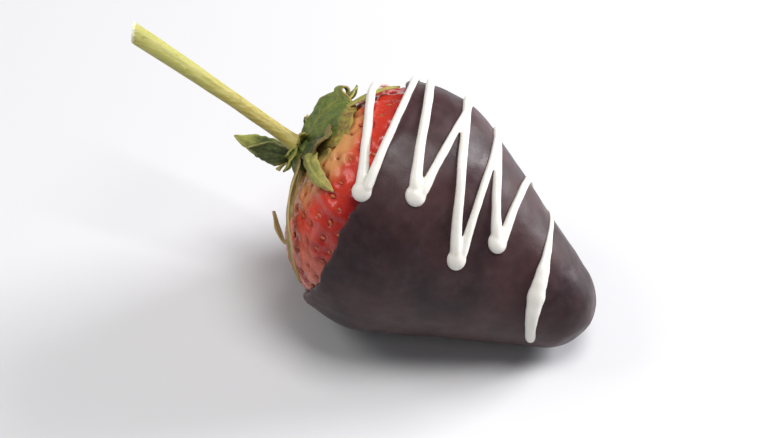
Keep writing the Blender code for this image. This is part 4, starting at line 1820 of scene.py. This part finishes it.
    def build(self) -> None:
        """Build the cap."""
        tones = (
            LeafFinish(LeafTone.FRESH, (0.150, 0.200, 0.042), (0.078, 0.112, 0.026),
                       (0.40, 0.33, 0.060), (0.20, 0.22, 0.06)),
            # Painted shade: darker greens for leaves that lie in shade.
            LeafFinish(LeafTone.SHADED, (0.075, 0.098, 0.024), (0.032, 0.048, 0.014),
                       (0.20, 0.19, 0.06), (0.36, 0.36, 0.12)),
            LeafFinish(LeafTone.TIPPED, (0.085, 0.120, 0.028), (0.035, 0.055, 0.015),
                       (0.26, 0.27, 0.07), (0.46, 0.47, 0.12), tip_share=0.95, tip_from=0.92),
            LeafFinish(LeafTone.YELLOWING, (0.40, 0.37, 0.090), (0.24, 0.25, 0.055),
                       (0.52, 0.42, 0.13), (0.46, 0.34, 0.11)),
            LeafFinish(LeafTone.DRIED, (0.36, 0.27, 0.105), (0.22, 0.17, 0.06),
                       (0.48, 0.36, 0.16), (0.30, 0.20, 0.09)),
        )
        finishes = {tone.tone: tone.build() for tone in tones}
        for leaf in (*self.leaves, *self.bracts()):
            self.build_leaf(leaf, finishes[leaf.tone])
        self.build_hub(finishes[LeafTone.FRESH])


@dataclass
class Stalk:
    """The long stalk: faintly ribbed, wider at its slanting cut end, with a stepped cut face."""

    form: BerryForm
    length: float = 0.0320
    root_radius: float = 0.00112
    end_radius: float = 0.00150
    flare: float = 0.0011
    flare_reach: float = 0.0011
    lean: float = math.radians(3)
    lean_turn: float = math.radians(-49)
    bow: float = 0.0002
    cut: float = math.radians(28)
    spare: float = 0.002
    roughness: float = 0.00006
    wander: float = 0.00016
    face_steps: tuple[tuple[float, float], ...] = (
        (0.00022, 0.0), (0.00020, -0.00012), (0.00035, -0.00010))
    face_depth: float = 0.0004
    skin_end: float = 0.94
    sharp: float = math.radians(50)
    start_along: float = -0.0024
    sides: int = 40
    rows: int = 120

    def build(self) -> None:
        """Build the stalk."""
        form = self.form
        start = Vector((self.start_along, 0, 0))
        away = Vector((0, -math.sin(self.lean_turn), math.cos(self.lean_turn)))
        heading = Vector((-1, 0, 0)) * math.cos(self.lean) + away * math.sin(self.lean)
        side = heading.cross(away).normalized()
        up = side.cross(heading).normalized()
        beyond = self.length + self.spare

        def shape(row: int, angle: float) -> Vector:
            """Place on the stalk for a row and an angle round it.

            Args:
                row: the row.
                angle: the angle in radians.

            Returns:
                The place.
            """
            part = row / self.rows
            gone = beyond * part
            widening = smooth_step((gone / self.length - 0.30) / 0.70)
            radius = self.root_radius + (self.end_radius - self.root_radius) * widening
            radius += self.flare * math.exp(-gone / self.flare_reach)
            radius *= 1 + 0.035 * math.cos(3 * angle) + 0.020 * math.cos(7 * angle + 1.0)
            spot = Vector((gone * 260.0, math.cos(angle), math.sin(angle)))
            radius += self.roughness * noise.noise(spot)
            if row in (0, self.rows):
                radius = 0.0
            bow = up * (self.bow * math.sin(math.pi * gone / self.length))
            wander = side * (self.wander * noise.noise(Vector((gone * 90.0, 4.0, 1.0))))
            across = side * math.cos(angle) + up * math.sin(angle)
            return form.placed(start + heading * gone + bow + wander + across * radius)

        stalk = wrapped_sphere("stalk", self.sides, self.rows, shape)
        end = form.placed(start + heading * self.length)
        slant = form.tilt @ (heading * math.cos(self.cut) - up * math.sin(self.cut))
        hold(stalk)
        bpy.ops.object.mode_set(mode="EDIT")
        bpy.ops.mesh.select_all(action="SELECT")
        bpy.ops.mesh.bisect(plane_co=end, plane_no=slant, use_fill=True, clear_outer=True)
        for thickness, depth in self.face_steps:
            bpy.ops.mesh.inset(thickness=thickness, depth=depth)
        bpy.ops.mesh.poke()
        bpy.ops.mesh.select_all(action="SELECT")
        bpy.ops.mesh.normals_make_consistent(inside=False)
        bpy.ops.object.mode_set(mode="OBJECT")
        bpy.ops.object.shade_smooth_by_angle(angle=self.sharp)
        root = form.placed(start)
        direction = form.tilt @ heading
        gone = [(vert.co - root).dot(direction) / self.length for vert in stalk.data.vertices]
        near = [(vert.co - end).dot(slant.normalized()) for vert in stalk.data.vertices]
        record_values(stalk, along=[1.0 if face > -self.face_depth else min(part, self.skin_end)
                                    for part, face in zip(gone, near)])
        stalk.data.materials.append(StalkFinish().build())
        settle(stalk, "stem_green", "stem")


# Surroundings


@dataclass(frozen=True)
class Lamp:
    """A soft square light: its direction in degrees, distance, side, power and colour."""

    name: str
    azimuth: float
    elevation: float
    distance: float
    size: float
    power: float
    colour: Colour


@dataclass
class Studio:
    """A pale table, soft light and the camera."""

    azimuth: float = math.radians(23)
    elevation: float = math.radians(45)
    lens: float = 110.0
    distance: float = 0.375
    table_size: float = 4.0
    sky: Colour = (0.86, 0.88, 0.93)
    sky_strength: float = 0.16
    aim: Vector = field(default_factory=lambda: Vector((-0.004, -0.001, 0.0165)))
    lamps: tuple[Lamp, ...] = (
        Lamp("top", 85, 76, 0.75, 0.34, 4.2, (1.0, 0.99, 0.98)),
        Lamp("key", -74, 46, 0.75, 0.30, 1.5, (1.0, 0.99, 0.97)),
        Lamp("glint", 136, 25, 0.6, 0.24, 4.6, (0.97, 0.97, 1.0)),
        Lamp("fill", 25, 42, 0.9, 0.5, 0.5, (1.0, 0.98, 0.96)),
    )

    def aimed(self, name: str, data: bpy.types.ID, azimuth: float, elevation: float,
              distance: float) -> bpy.types.Object:
        """Place a light or a camera so that it faces the strawberry.

        Args:
            name: the object's name.
            data: the light or the camera.
            azimuth: its direction in radians.
            elevation: its height in radians.
            distance: its distance in metres.

        Returns:
            The new object.
        """
        item = bpy.data.objects.new(name, data)
        bpy.context.scene.collection.objects.link(item)
        item.location = self.aim + self.direction(azimuth, elevation) * distance
        item.rotation_euler = (item.location - self.aim).to_track_quat("Z", "Y").to_euler()
        return item

    def light(self, lamp: Lamp) -> None:
        """Add one soft square light that faces the strawberry.

        Args:
            lamp: the light.
        """
        data = bpy.data.lights.new(lamp.name, "AREA")
        data.shape = "SQUARE"
        data.size = lamp.size
        data.energy = lamp.power
        data.color = lamp.colour
        self.aimed(lamp.name, data, math.radians(lamp.azimuth), math.radians(lamp.elevation),
                   lamp.distance)

    @staticmethod
    def direction(azimuth: float, elevation: float) -> Vector:
        """Unit vector from the strawberry towards a direction.

        Args:
            azimuth: its direction in radians.
            elevation: its height in radians.

        Returns:
            The unit vector.
        """
        return Vector((math.sin(azimuth) * math.cos(elevation),
                       -math.cos(azimuth) * math.cos(elevation),
                       math.sin(elevation)))

    def build(self) -> None:
        """Build the table, the lights, the sky and the camera."""
        deselect()
        bpy.ops.mesh.primitive_plane_add(size=self.table_size, location=(0, 0, 0))
        table = bpy.context.active_object
        table.name = "table"
        table.data.materials.append(TableFinish().build())
        for lamp in self.lamps:
            self.light(lamp)
        world = bpy.data.worlds.new("sky")
        world.use_nodes = True
        back = world.node_tree.nodes["Background"]
        back.inputs["Color"].default_value = (*self.sky, 1.0)
        back.inputs["Strength"].default_value = self.sky_strength
        bpy.context.scene.world = world
        bpy.context.scene.view_settings.view_transform = "Standard"
        data = bpy.data.cameras.new("camera")
        data.lens = self.lens
        data.clip_start = 0.01
        bpy.context.scene.camera = self.aimed(
            "camera", data, self.azimuth, self.elevation, self.distance)


def main() -> None:
    """Build every piece in order and note the sizes."""
    logging.basicConfig(level=logging.INFO, format="%(message)s")
    Studio().build()
    form = BerryForm()
    coat = Coat(form)
    Flesh(form).build()
    coat.build()
    Drizzle(form, coat).build()
    Cap(form).build()
    Stalk(form).build()
    deselect()


if __name__ == "__main__":
    main()
